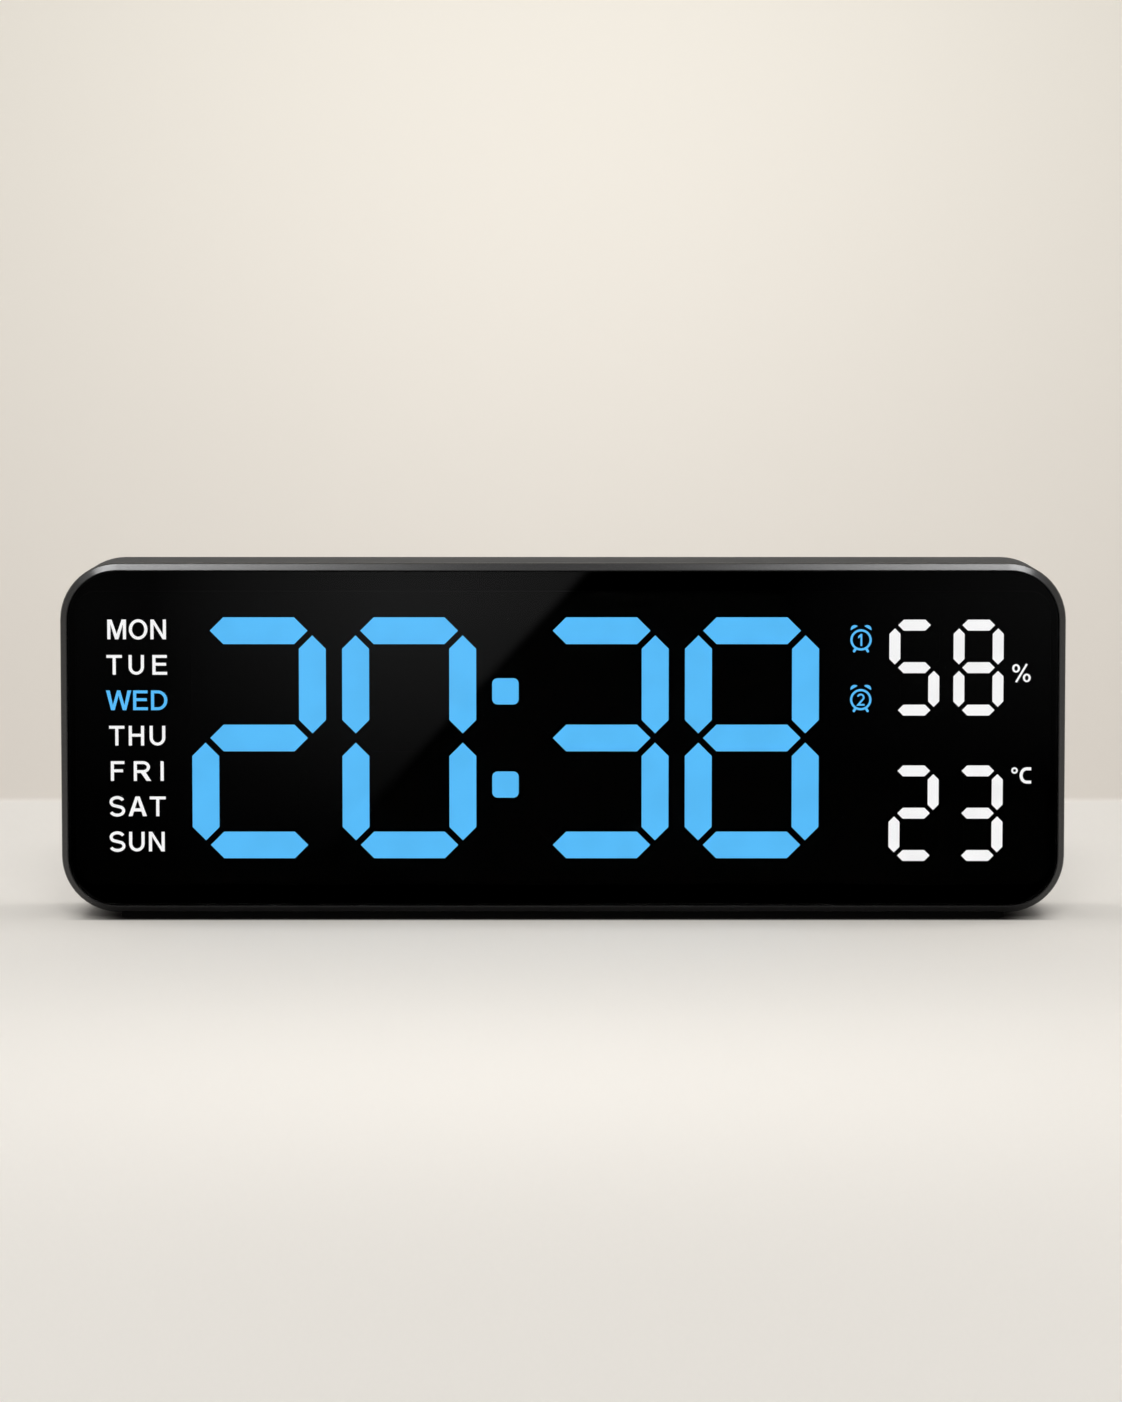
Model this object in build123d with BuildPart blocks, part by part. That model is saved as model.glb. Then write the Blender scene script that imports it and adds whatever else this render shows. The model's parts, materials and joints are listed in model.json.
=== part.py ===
from build123d import *
import math
import os

# A digital wall clock that hangs on two screws or stands on a table. Its face shows the
# weekdays, the time, and the humidity and temperature. Sizes are in millimetres. X runs to
# the viewer's right, Y from the front to the back, and Z up from the table.

os.makedirs("parts", exist_ok=True)

# What the face shows
SHOWN_TIME = "2038"
SHOWN_HUMIDITY = "58"
SHOWN_TEMPERATURE = "23"

# Face layout from left to right
LEFT_MARGIN = 14.1
WEEKDAY_WIDTH = 19.0
WEEKDAY_GAP = 8.1
DIGIT_WIDTH = 42.0
DIGIT_GAP = 5.1
COLON_SPACE = 18.3
ALARM_GAP = 10.1
ALARM_WIDTH = 6.9
CLIMATE_GAP = 5.0
SMALL_WIDTH = 15.7
SMALL_GAP = 4.4
UNIT_GAP = 2.8
UNIT_WIDTH = 6.6
RIGHT_MARGIN = 10.1

# Face layout from bottom to top
DIGIT_HEIGHT = 76.0
FACE_MARGIN = 17.1
SMALL_HEIGHT = 30.2
ROW_GAP = 15.7
ROW_DROP = 0.8
WEEKDAY_COUNT = 7
WEEKDAY_HEIGHT = 6.1
WEEKDAY_PITCH = 11.15
WEEKDAY_LIFT = 0.75
ALARM_HEIGHT = 8.8
ALARM_PITCH = 18.8
ALARM_LIFT = 21.65
UNIT_HEIGHT = 6.0
PERCENT_LIFT = 20.25
DEGREE_DROP = 11.95
COLON_SIZE = 8.3
COLON_ROUND = 1.7
COLON_PITCH = 29.4

# Seven-segment figures
STROKE = 8.45
SEGMENT_SPACE = 1.45
SMALL_STROKE = 3.46
SMALL_SPACE = 1.0

# Case
CASE_DEPTH = 28.0
CORNER_RADIUS = 17.9
WALL = 2.2
BEZEL_WIDTH = 2.4
BEZEL_CHAMFER = 2.1
BEZEL_ROUND = 1.5
REAR_ROUND = 3.0
SEAM_EDGE = 0.12
LEDGE_THICKNESS = 1.6
LEDGE_SIDE = 3.0
LEDGE_TOP = 7.0
OPENING_ROUND = 6.0
LIP_HEIGHT = 1.5
LIP_THICKNESS = 1.0
LIP_ROOT = 2.0
SHELL_FIT = 0.15
PAD_HEIGHT = 1.7

# Lens, face film and light box
LENS_THICKNESS = 2.0
LENS_INSET = 0.25
LENS_FIT = 0.12
LENS_EDGE = 0.2
TAPE_THICKNESS = 0.3
TAPE_INSET = 0.6
FILM_GAP = 0.3
FILM_THICKNESS = 0.2
FILM_INSET = 0.6
LIGHT_BOX_DEPTH = 7.4
BOX_GAP = 1.6
PLATE_THICKNESS = 2.2
BOX_WALL = 1.6
BOX_ROUND = 3.0
RIB = 1.2
INSERT_THICKNESS = 1.5
INSERT_FIT = 0.05
INSERT_LEDGE = 0.35
BAR_MARGIN = 0.4
WELL_DRAFT = 4.0

# Circuit board and what it carries
BOARD_THICKNESS = 1.6
BOARD_ROUND = 2.0
BOARD_SCREW_SPACING = 136.0
EAR_INSET = 7.3
EAR_RADIUS = 3.0
EAR_THICKNESS = 2.0
POST_RADIUS = 2.4
LED_LENGTH = 2.0
LED_WIDTH = 1.25
LED_HEIGHT = 0.8
SMALL_LED_LENGTH = 1.6
SMALL_LED_WIDTH = 0.8
LED_SPREAD = 11.0
CHIP_SIZE = 10.0
CHIP_HEIGHT = 1.5
CHIP_STANDOFF = 0.2
CHIP_EDGE = 0.3
CHIP_X = 4.0
CHIP_Z = -8.0
LEAD_WIDTH = 0.45
LEAD_PITCH = 1.1
LEAD_COUNT = 8
LEAD_REACH = 1.3
DRIVER_LENGTH = 15.4
DRIVER_WIDTH = 7.5
DRIVER_SPACING = 150.0
DRIVER_Z = -2.0
CRYSTAL_RADIUS = 1.5
CRYSTAL_LENGTH = 8.0
CRYSTAL_ROUND = 0.4
CRYSTAL_GAP = 3.0
CRYSTAL_LIFT = 0.05
CAPACITOR_RADIUS = 3.15
CAPACITOR_HEIGHT = 7.0
CAPACITOR_ROUND = 0.5
CAPACITOR_PITCH = 9.0
CAPACITOR_INSET = 34.0
CAPACITOR_Z = -4.0
BUZZER_RADIUS = 6.5
BUZZER_HEIGHT = 7.0
BUZZER_PORT = 1.2
BUZZER_PORT_DEPTH = 3.5
BUZZER_ROUND = 0.6
BUZZER_X = 48.0
BUZZER_Z = -6.0
SENSOR_SIZE = 5.0
SENSOR_HEIGHT = 1.6
SENSOR_PORT = 0.8
SENSOR_PORT_DEPTH = 0.8
SENSOR_INSET = 28.0
SENSOR_Z = -14.0
SENSOR_SLOT = 1.2
SENSOR_MOAT = 3.0

# Power inlet, which opens through the right side
INLET_WIDTH = 8.94
INLET_HEIGHT = 3.26
INLET_LENGTH = 7.35
INLET_SHELL = 0.3
INLET_FIT = 0.2
INLET_SETBACK = 0.8
INLET_RELIEF_WIDTH = 13.0
INLET_RELIEF_HEIGHT = 7.0
INLET_Z = -14.0
TAB_WIDTH = 14.0
TAB_GAP = 0.3
TONGUE_WIDTH = 6.7
TONGUE_THICKNESS = 0.7
TONGUE_REACH = 4.6

# Keys on the back and their switches
KEY_NAMES = ("set", "up", "down", "alarm", "light")
KEY_PITCH = 16.0
KEY_DROP = 25.0
KEY_RADIUS = 4.0
KEY_FIT = 0.25
KEY_RECESS = 1.2
KEY_PROUD = 0.9
KEY_EDGE = 0.4
KEY_MARGIN = 4.0
FLANGE_WIDTH = 1.4
FLANGE_THICKNESS = 1.2
FLANGE_GAP = 0.1
STEM_RADIUS = 2.0
SWITCH_SIZE = 6.0
SWITCH_HEIGHT = 3.5
PLUNGER_RADIUS = 1.6
PLUNGER_FIT = 0.15
PLUNGER_REACH = 1.6
PLUNGER_SUNK = 0.6
PLUNGER_WELL = 1.8

# Wall fixing
KEYHOLE_SPACING = 190.0
KEYHOLE_Z = 20.0
KEYHOLE_HEAD_RADIUS = 4.25
KEYHOLE_NECK_RADIUS = 2.2
KEYHOLE_LENGTH = 9.0
KEYHOLE_POCKET_DEPTH = 5.0
KEYHOLE_POCKET_MARGIN = 1.2
POCKET_WALL = 1.3

# Backup cell, its contacts and its door
CELL_RADIUS = 10.0
CELL_THICKNESS = 3.2
CELL_EDGE = 0.3
CELL_FIT = 0.5
CELL_X = -48.0
CELL_Z = -4.0
CELL_DOOR_GAP = 0.5
CONTACT_THICKNESS = 0.3
CONTACT_WIDTH = 5.0
CONTACT_GAP = 0.05
CONTACT_REACH = 7.0
CONTACT_ROOM = 0.2
TUB_WALL = 2.0
DOOR_WIDTH = 32.0
DOOR_HEIGHT = 28.0
DOOR_THICKNESS = 1.8
DOOR_INSET = 0.2
DOOR_FIT = 0.3
DOOR_ROUND = 2.0
DOOR_BARREL_RADIUS = 1.3
DOOR_PIN_RADIUS = 0.9
DOOR_PIN_FIT = 0.1
DOOR_PIN_LENGTH = 1.2
DOOR_SWING_GAP = 1.2
DOOR_SCALLOP_RADIUS = 7.0
DOOR_SCALLOP_DEPTH = 1.2

# Vents
VENT_WIDTH = 1.6
VENT_LENGTH = 16.0
VENT_PITCH = 4.2
VENT_COUNT = 6
SOUND_HOLE_RADIUS = 0.9
SOUND_RING_RADIUS = 3.6
SOUND_RING_COUNT = 6

# Swing-out feet
FOOT_LENGTH = 60.0
FOOT_HEIGHT = 11.0
FOOT_THICKNESS = 6.0
FOOT_INSET = 45.5
FOOT_GAP = 0.4
FOOT_RELIEF = 5.2
FOOT_TIP_ROUND = 1.5
FOOT_EDGE = 1.2
FINGER_NOTCH = 13.0
RECESS_WALL = 1.6
LUG_HEIGHT = 2.6
LUG_GAP = 0.3
HINGE_BLOCK = 3.2
FOOT_PIN_RADIUS = 1.25
FOOT_PIN_FIT = 0.1
PIN_SEAT_FIT = 0.02
PIN_END_GAP = 0.2
TIP_LENGTH = 12.0
TIP_INSET = 2.0
TIP_MARGIN = 0.4

# Rubber strip and pads under the case
PAD_LENGTH = 16.0
PAD_WIDTH = 5.0
PAD_ROUND = 1.5
PAD_INSET = 30.0
PAD_SEAM_GAP = 0.4
STRIP_WIDTH = 4.0
STRIP_SETBACK = 2.8
STRIP_END_GAP = 0.6

# Screws
SCREW_INSET = 6.2
SCREW_SIDE = 24.0
SCREW_RADIUS = 1.2
SCREW_LENGTH = 8.0
SCREW_HEAD_RADIUS = 2.2
SCREW_HEAD_HEIGHT = 1.7
SCREW_FIT = 0.05
SCREW_CLEARANCE = 0.3
HEAD_CLEARANCE = 0.4
SCREW_SEAT = 2.5
BOSS_RADIUS = 3.0
BOSS_REACH = 3.5
TUBE_RADIUS = 4.2
BOARD_SCREW_RADIUS = 1.0
BOARD_SCREW_LENGTH = 7.4
BOARD_HEAD_RADIUS = 1.9
BOARD_HEAD_HEIGHT = 1.4
CROSS_WIDTH = 0.6
CROSS_DEPTH = 0.8

# Case size follows from the face
CASE_WIDTH = (
    LEFT_MARGIN
    + WEEKDAY_WIDTH
    + WEEKDAY_GAP
    + 4 * DIGIT_WIDTH
    + 2 * DIGIT_GAP
    + COLON_SPACE
    + ALARM_GAP
    + ALARM_WIDTH
    + CLIMATE_GAP
    + 2 * SMALL_WIDTH
    + SMALL_GAP
    + UNIT_GAP
    + UNIT_WIDTH
    + RIGHT_MARGIN
)
CASE_HEIGHT = DIGIT_HEIGHT + 2 * FACE_MARGIN
HALF_WIDTH = CASE_WIDTH / 2
HALF_HEIGHT = CASE_HEIGHT / 2
CENTRE_Z = PAD_HEIGHT + HALF_HEIGHT

# Places across the face
WEEKDAY_X = -HALF_WIDTH + LEFT_MARGIN + WEEKDAY_WIDTH / 2
HOUR_TENS_X = WEEKDAY_X + WEEKDAY_WIDTH / 2 + WEEKDAY_GAP + DIGIT_WIDTH / 2
HOUR_UNITS_X = HOUR_TENS_X + DIGIT_WIDTH + DIGIT_GAP
MINUTE_TENS_X = HOUR_UNITS_X + DIGIT_WIDTH + COLON_SPACE
MINUTE_UNITS_X = MINUTE_TENS_X + DIGIT_WIDTH + DIGIT_GAP
COLON_X = (HOUR_UNITS_X + MINUTE_TENS_X) / 2
ALARM_X = MINUTE_UNITS_X + DIGIT_WIDTH / 2 + ALARM_GAP + ALARM_WIDTH / 2
CLIMATE_TENS_X = ALARM_X + ALARM_WIDTH / 2 + CLIMATE_GAP + SMALL_WIDTH / 2
CLIMATE_UNITS_X = CLIMATE_TENS_X + SMALL_WIDTH + SMALL_GAP
UNIT_X = CLIMATE_UNITS_X + SMALL_WIDTH / 2 + UNIT_GAP + UNIT_WIDTH / 2
HUMIDITY_Z = (SMALL_HEIGHT + ROW_GAP) / 2 - ROW_DROP
TEMPERATURE_Z = -(SMALL_HEIGHT + ROW_GAP) / 2 - ROW_DROP

# Places through the depth, from the front to the back
FRONT_Y = -CASE_DEPTH / 2
LENS_FRONT_Y = FRONT_Y + LENS_INSET
LENS_BACK_Y = LENS_FRONT_Y + LENS_THICKNESS
LEDGE_FRONT_Y = LENS_BACK_Y + TAPE_THICKNESS
LEDGE_BACK_Y = LEDGE_FRONT_Y + LEDGE_THICKNESS
FILM_BACK_Y = LENS_BACK_Y + FILM_GAP + FILM_THICKNESS
BOX_BACK_Y = FILM_BACK_Y + LIGHT_BOX_DEPTH
BOARD_BACK_Y = BOX_BACK_Y + BOARD_THICKNESS
PARTING_Y = BOX_BACK_Y - LIP_HEIGHT - SHELL_FIT
BACK_Y = CASE_DEPTH / 2
BACK_WALL_Y = BACK_Y - WALL
BOSS_END_Y = PARTING_Y + BOSS_REACH
SCREW_SEAT_Y = BOSS_END_Y + SCREW_SEAT
PANEL_FACE_Y = BACK_Y - KEY_RECESS
PANEL_BACK_Y = PANEL_FACE_Y - WALL
DOOR_FACE_Y = BACK_Y - DOOR_INSET
DOOR_BACK_Y = DOOR_FACE_Y - DOOR_THICKNESS
CELL_BACK_Y = DOOR_BACK_Y - CELL_DOOR_GAP
TUB_FLOOR_Y = CELL_BACK_Y - CELL_THICKNESS - CONTACT_THICKNESS
FOOT_Y = BACK_Y - FOOT_THICKNESS / 2
RECESS_Y = BACK_Y - FOOT_THICKNESS - FOOT_GAP
SWITCH_TOP_Y = BOARD_BACK_Y + SWITCH_HEIGHT
PLUNGER_END_Y = SWITCH_TOP_Y + PLUNGER_REACH
FLANGE_BACK_Y = PANEL_BACK_Y - FLANGE_GAP
INLET_Y = BOARD_BACK_Y + INLET_HEIGHT / 2
INSERT_BACK_Y = FILM_BACK_Y + INSERT_THICKNESS
PLATE_BACK_Y = FILM_BACK_Y + PLATE_THICKNESS
EAR_FRONT_Y = BOX_BACK_Y - EAR_THICKNESS

# Shared outlines and rows of places
OPENING_WIDTH = CASE_WIDTH - 2 * (BEZEL_WIDTH + LEDGE_SIDE)
OPENING_HEIGHT = CASE_HEIGHT - 2 * (BEZEL_WIDTH + LEDGE_TOP)
BOX_WIDTH = OPENING_WIDTH - 2 * BOX_GAP
BOX_HEIGHT = OPENING_HEIGHT - 2 * BOX_GAP
SCREW_X = HALF_WIDTH - SCREW_SIDE
SCREW_Z = HALF_HEIGHT - SCREW_INSET
EAR_Z = HALF_HEIGHT - EAR_INSET
HINGE_X = HALF_WIDTH - FOOT_INSET
KEY_Z = HALF_HEIGHT - KEY_DROP
CASE_SCREWS = [(x, z) for x in (-SCREW_X, 0, SCREW_X) for z in (-SCREW_Z, SCREW_Z)]
BOARD_SCREWS = [
    (x, z) for x in (-BOARD_SCREW_SPACING / 2, BOARD_SCREW_SPACING / 2) for z in (-EAR_Z, EAR_Z)
]
KEYHOLES = [(-KEYHOLE_SPACING / 2, KEYHOLE_Z), (KEYHOLE_SPACING / 2, KEYHOLE_Z)]
KEYS = [((index - (len(KEY_NAMES) - 1) / 2) * KEY_PITCH, KEY_Z) for index in range(len(KEY_NAMES))]
COLON_DOTS = [(COLON_X, COLON_PITCH / 2), (COLON_X, -COLON_PITCH / 2)]
WEEKDAYS = [
    (WEEKDAY_X, WEEKDAY_LIFT + (row - (WEEKDAY_COUNT - 1) / 2) * WEEKDAY_PITCH)
    for row in range(WEEKDAY_COUNT)
]
ALARMS = [(ALARM_X, ALARM_LIFT + ALARM_PITCH / 2), (ALARM_X, ALARM_LIFT - ALARM_PITCH / 2)]
UNITS = [(UNIT_X, PERCENT_LIFT), (UNIT_X, -DEGREE_DROP)]
SENSOR_X = -HALF_WIDTH + SENSOR_INSET
INLET_MOUTH_X = HALF_WIDTH - INLET_SETBACK
INLET_END_X = INLET_MOUTH_X - INLET_LENGTH
TAB_END_X = HALF_WIDTH - WALL - TAB_GAP
DOOR_BOTTOM_Z = CELL_Z - DOOR_HEIGHT / 2
DOOR_TOP_Z = CELL_Z + DOOR_HEIGHT / 2
DOOR_AXIS_Z = DOOR_BOTTOM_Z + DOOR_BARREL_RADIUS
RECESS_TOP_Z = FOOT_HEIGHT + FOOT_GAP - HALF_HEIGHT
RECESS_INNER_X = HINGE_X - FOOT_LENGTH - FINGER_NOTCH
RECESS_OUTER_X = HINGE_X + FOOT_THICKNESS / 2 + FOOT_GAP
LUG_INNER_X = HINGE_X - FOOT_THICKNESS / 2
PIN_BOTTOM_Z = PAD_HEIGHT + PIN_END_GAP
PIN_TOP_Z = CENTRE_Z + RECESS_TOP_Z + HINGE_BLOCK
SIDES = (("left", -1), ("right", 1))

# Segments a to g run clockwise from the top, and g crosses the middle
FIGURES = {
    "0": "abcdef",
    "1": "bc",
    "2": "abdeg",
    "3": "abcdg",
    "4": "bcfg",
    "5": "acdfg",
    "6": "acdefg",
    "7": "abc",
    "8": "abcdefg",
    "9": "abcdfg",
}
ALL_SEGMENTS = "abcdefg"
LARGE = (DIGIT_WIDTH, DIGIT_HEIGHT, STROKE, SEGMENT_SPACE)
SMALL = (SMALL_WIDTH, SMALL_HEIGHT, SMALL_STROKE, SMALL_SPACE)
TIME_DIGITS = [
    ("hour_tens", SHOWN_TIME[0], (HOUR_TENS_X, 0), LARGE),
    ("hour_units", SHOWN_TIME[1], (HOUR_UNITS_X, 0), LARGE),
    ("minute_tens", SHOWN_TIME[2], (MINUTE_TENS_X, 0), LARGE),
    ("minute_units", SHOWN_TIME[3], (MINUTE_UNITS_X, 0), LARGE),
]
CLIMATE_DIGITS = [
    ("humidity_tens", SHOWN_HUMIDITY[0], (CLIMATE_TENS_X, HUMIDITY_Z), SMALL),
    ("humidity_units", SHOWN_HUMIDITY[1], (CLIMATE_UNITS_X, HUMIDITY_Z), SMALL),
    ("temperature_tens", SHOWN_TEMPERATURE[0], (CLIMATE_TENS_X, TEMPERATURE_Z), SMALL),
    ("temperature_units", SHOWN_TEMPERATURE[1], (CLIMATE_UNITS_X, TEMPERATURE_Z), SMALL),
]


def upright(y):
    """A plane across the clock at depth y, seen from the front, that extrudes to the front."""
    return Plane(origin=(0, y, CENTRE_Z), x_dir=(1, 0, 0), z_dir=(0, -1, 0))


def level(z):
    """A plane parallel to the table at height z, that extrudes upwards."""
    return Plane.XY.offset(z)


def inlet_plane(x):
    """A plane across the power inlet at x, with the inlet's middle at its origin."""
    return Plane(origin=(x, INLET_Y, CENTRE_Z + INLET_Z), x_dir=(0, 1, 0), z_dir=(1, 0, 0))


def segment_places(size):
    """Centre, turn and length of each segment of a figure, from the figure's middle."""
    width, height, stroke, space = size
    column = (width - stroke) / 2
    row = (height - stroke) / 2
    across = 2 * (column - space)
    along = row - 2 * space
    return {
        "a": (0, row, 0, across),
        "b": (column, row / 2, 90, along),
        "c": (column, -row / 2, 90, along),
        "d": (0, -row, 0, across),
        "e": (-column, -row / 2, 90, along),
        "f": (-column, row / 2, 90, along),
        "g": (0, 0, 0, across),
    }


def draw_segments(names, place, size, grow=0.0):
    """Draws pointed six-sided segments of one figure, each grown outwards by grow."""
    half_stroke = size[2] / 2 + grow
    for name in names:
        x, z, turn, length = segment_places(size)[name]
        tip = length / 2 + grow * math.sqrt(2)
        shoulder = tip - half_stroke
        with Locations((place[0] + x, place[1] + z)):
            Polygon(
                (-tip, 0),
                (-shoulder, half_stroke),
                (shoulder, half_stroke),
                (tip, 0),
                (shoulder, -half_stroke),
                (-shoulder, -half_stroke),
                rotation=turn,
            )


def draw_all_segments(grow=0.0):
    """Draws every segment and colon dot of the face, grown outwards by grow."""
    for _, _, place, size in TIME_DIGITS + CLIMATE_DIGITS:
        draw_segments(ALL_SEGMENTS, place, size, grow)
    with Locations(*COLON_DOTS):
        RectangleRounded(COLON_SIZE + 2 * grow, COLON_SIZE + 2 * grow, COLON_ROUND + grow)


def draw_legend_bars(grow=0.0):
    """Draws the light bars behind the weekdays, alarm signs and units, grown by grow."""
    margin = 2 * (BAR_MARGIN + grow)
    with Locations(*WEEKDAYS):
        Rectangle(WEEKDAY_WIDTH + margin, WEEKDAY_HEIGHT + margin)
    with Locations(*ALARMS):
        Rectangle(ALARM_WIDTH + margin, ALARM_HEIGHT + margin)
    with Locations(*UNITS):
        Rectangle(UNIT_WIDTH + margin, UNIT_HEIGHT + margin)


def draw_case_outline(inset, mode=Mode.ADD):
    """Draws or cuts the case's rounded outline, moved inwards by inset."""
    width = CASE_WIDTH - 2 * inset
    height = CASE_HEIGHT - 2 * inset
    RectangleRounded(width, height, CORNER_RADIUS - inset, mode=mode)


def draw_ears():
    """Draws the four screw ears that stand out above and below the board."""
    for x, z in BOARD_SCREWS:
        side = math.copysign(1, z)
        root = side * (BOX_HEIGHT / 2 - EAR_RADIUS)
        with Locations((x, (z + root) / 2)):
            Rectangle(2 * EAR_RADIUS, abs(z - root))
        with Locations((x, z)):
            Circle(EAR_RADIUS)


def save(builder, name):
    """Labels a finished piece and writes it as its own file."""
    builder.part.label = name
    export_step(builder.part, f"parts/{name}.step")


# Front frame with the bevelled bezel, the lens ledge, screw bosses and board posts
with BuildPart() as front_frame:
    with BuildSketch(upright(PARTING_Y)):
        draw_case_outline(0)
    extrude(amount=PARTING_Y - FRONT_Y)
    chamfer(front_frame.faces().sort_by(Axis.Y)[0].edges(), BEZEL_CHAMFER)
    bevel_edge = front_frame.edges().group_by(Axis.Y)[2]
    fillet(bevel_edge, BEZEL_ROUND)
    chamfer(front_frame.faces().sort_by(Axis.Y)[-1].edges(), SEAM_EDGE)
    with BuildSketch(upright(PARTING_Y)):
        draw_case_outline(WALL)
    extrude(amount=PARTING_Y - LEDGE_BACK_Y, mode=Mode.SUBTRACT)
    with BuildSketch(upright(LEDGE_FRONT_Y)):
        draw_case_outline(BEZEL_WIDTH)
    extrude(amount=LEDGE_FRONT_Y - FRONT_Y, mode=Mode.SUBTRACT)
    with BuildSketch(upright(LEDGE_BACK_Y)):
        RectangleRounded(OPENING_WIDTH, OPENING_HEIGHT, OPENING_ROUND)
    extrude(amount=LEDGE_THICKNESS, mode=Mode.SUBTRACT)
    with BuildSketch(upright(PARTING_Y)):
        draw_case_outline(WALL)
        draw_case_outline(WALL + SHELL_FIT + LIP_THICKNESS, Mode.SUBTRACT)
    extrude(amount=LIP_ROOT)
    with BuildSketch(upright(PARTING_Y + LIP_HEIGHT)):
        draw_case_outline(WALL + SHELL_FIT)
        draw_case_outline(WALL + SHELL_FIT + LIP_THICKNESS, Mode.SUBTRACT)
    extrude(amount=LIP_HEIGHT)
    with BuildSketch(upright(BOSS_END_Y)):
        with Locations(*CASE_SCREWS):
            Circle(BOSS_RADIUS)
    extrude(amount=BOSS_END_Y - LEDGE_BACK_Y)
    with BuildSketch(upright(EAR_FRONT_Y)):
        with Locations(*BOARD_SCREWS):
            Circle(POST_RADIUS)
    extrude(amount=EAR_FRONT_Y - LEDGE_BACK_Y)
    with BuildSketch(upright(BOSS_END_Y)):
        with Locations(*CASE_SCREWS):
            Circle(SCREW_RADIUS + SCREW_FIT)
    extrude(amount=BOSS_END_Y - LEDGE_BACK_Y, mode=Mode.SUBTRACT)
    with BuildSketch(upright(EAR_FRONT_Y)):
        with Locations(*BOARD_SCREWS):
            Circle(BOARD_SCREW_RADIUS + SCREW_FIT)
    extrude(amount=EAR_FRONT_Y - LEDGE_BACK_Y, mode=Mode.SUBTRACT)
save(front_frame, "front_frame")

# Lens, which lies just below the bezel's inner edge
with BuildPart() as lens_panel:
    with BuildSketch(upright(LENS_BACK_Y)):
        draw_case_outline(BEZEL_WIDTH + LENS_FIT)
    extrude(amount=LENS_THICKNESS)
    chamfer(lens_panel.faces().sort_by(Axis.Y)[0].edges(), LENS_EDGE)
save(lens_panel, "lens_panel")

# Adhesive ring that holds the lens on the frame's ledge
with BuildPart() as lens_tape:
    with BuildSketch(upright(LEDGE_FRONT_Y)):
        draw_case_outline(BEZEL_WIDTH + TAPE_INSET)
        RectangleRounded(
            OPENING_WIDTH + 2 * TAPE_INSET,
            OPENING_HEIGHT + 2 * TAPE_INSET,
            OPENING_ROUND + TAPE_INSET,
            mode=Mode.SUBTRACT,
        )
    extrude(amount=TAPE_THICKNESS)
save(lens_tape, "lens_tape")

# Black face film with a window for each segment
with BuildPart() as face_film:
    with BuildSketch(upright(FILM_BACK_Y)):
        RectangleRounded(
            OPENING_WIDTH - 2 * FILM_INSET,
            OPENING_HEIGHT - 2 * FILM_INSET,
            OPENING_ROUND - FILM_INSET,
        )
    extrude(amount=FILM_THICKNESS)
    with BuildSketch(upright(FILM_BACK_Y)):
        draw_all_segments()
    extrude(amount=FILM_THICKNESS, mode=Mode.SUBTRACT)
save(face_film, "face_film")

# Light box: a front plate, a skirt, and ribbed figures with a tapered well for each segment
with BuildPart() as light_box:
    with BuildSketch(upright(PLATE_BACK_Y)):
        RectangleRounded(BOX_WIDTH, BOX_HEIGHT, BOX_ROUND)
    extrude(amount=PLATE_THICKNESS)
    with BuildSketch(upright(BOX_BACK_Y)):
        RectangleRounded(BOX_WIDTH, BOX_HEIGHT, BOX_ROUND)
        RectangleRounded(
            BOX_WIDTH - 2 * BOX_WALL,
            BOX_HEIGHT - 2 * BOX_WALL,
            BOX_ROUND - BOX_WALL,
            mode=Mode.SUBTRACT,
        )
        draw_legend_bars(RIB)
        with Locations(*COLON_DOTS):
            Rectangle(COLON_SIZE + 2 * RIB, COLON_SIZE + 2 * RIB)
        for _, _, place, (width, height, stroke, _) in TIME_DIGITS + CLIMATE_DIGITS:
            bay_width = width - 2 * stroke - 2 * RIB
            bay_height = (height - 3 * stroke) / 2 - 2 * RIB
            bay_shift = (height - stroke) / 4
            with Locations(place):
                Rectangle(width + 2 * RIB, height + 2 * RIB)
            with Locations(
                (place[0], place[1] - bay_shift),
                (place[0], place[1] + bay_shift),
            ):
                Rectangle(bay_width, bay_height, mode=Mode.SUBTRACT)
    extrude(amount=BOX_BACK_Y - PLATE_BACK_Y)
    with BuildSketch(upright(BOX_BACK_Y)):
        draw_ears()
    extrude(amount=EAR_THICKNESS)
    with BuildSketch(upright(BOX_BACK_Y)):
        with Locations(*BOARD_SCREWS):
            Circle(BOARD_SCREW_RADIUS + SCREW_CLEARANCE)
    extrude(amount=EAR_THICKNESS, mode=Mode.SUBTRACT)
    with BuildSketch(upright(INSERT_BACK_Y)):
        draw_all_segments(INSERT_FIT)
        draw_legend_bars(INSERT_FIT)
    extrude(amount=INSERT_THICKNESS, mode=Mode.SUBTRACT)
    with BuildSketch(upright(INSERT_BACK_Y)):
        draw_all_segments(-INSERT_LEDGE)
        draw_legend_bars(-INSERT_LEDGE)
    extrude(amount=INSERT_BACK_Y - BOX_BACK_Y, taper=WELL_DRAFT, mode=Mode.SUBTRACT)
save(light_box, "light_box")

# Lit segments of each figure, as inserts in the mouths of their wells
for name, figure, place, size in TIME_DIGITS + CLIMATE_DIGITS:
    with BuildPart() as lit_segments:
        with BuildSketch(upright(INSERT_BACK_Y)):
            draw_segments(FIGURES[figure], place, size)
        extrude(amount=INSERT_THICKNESS)
    save(lit_segments, f"{name}_segments")

# Segments that are dark at this time
for name, digits in (("time", TIME_DIGITS), ("climate", CLIMATE_DIGITS)):
    with BuildPart() as dark_segments:
        with BuildSketch(upright(INSERT_BACK_Y)):
            for _, figure, place, size in digits:
                dark = [segment for segment in ALL_SEGMENTS if segment not in FIGURES[figure]]
                draw_segments(dark, place, size)
        extrude(amount=INSERT_THICKNESS)
    save(dark_segments, f"{name}_dark_segments")

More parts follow.
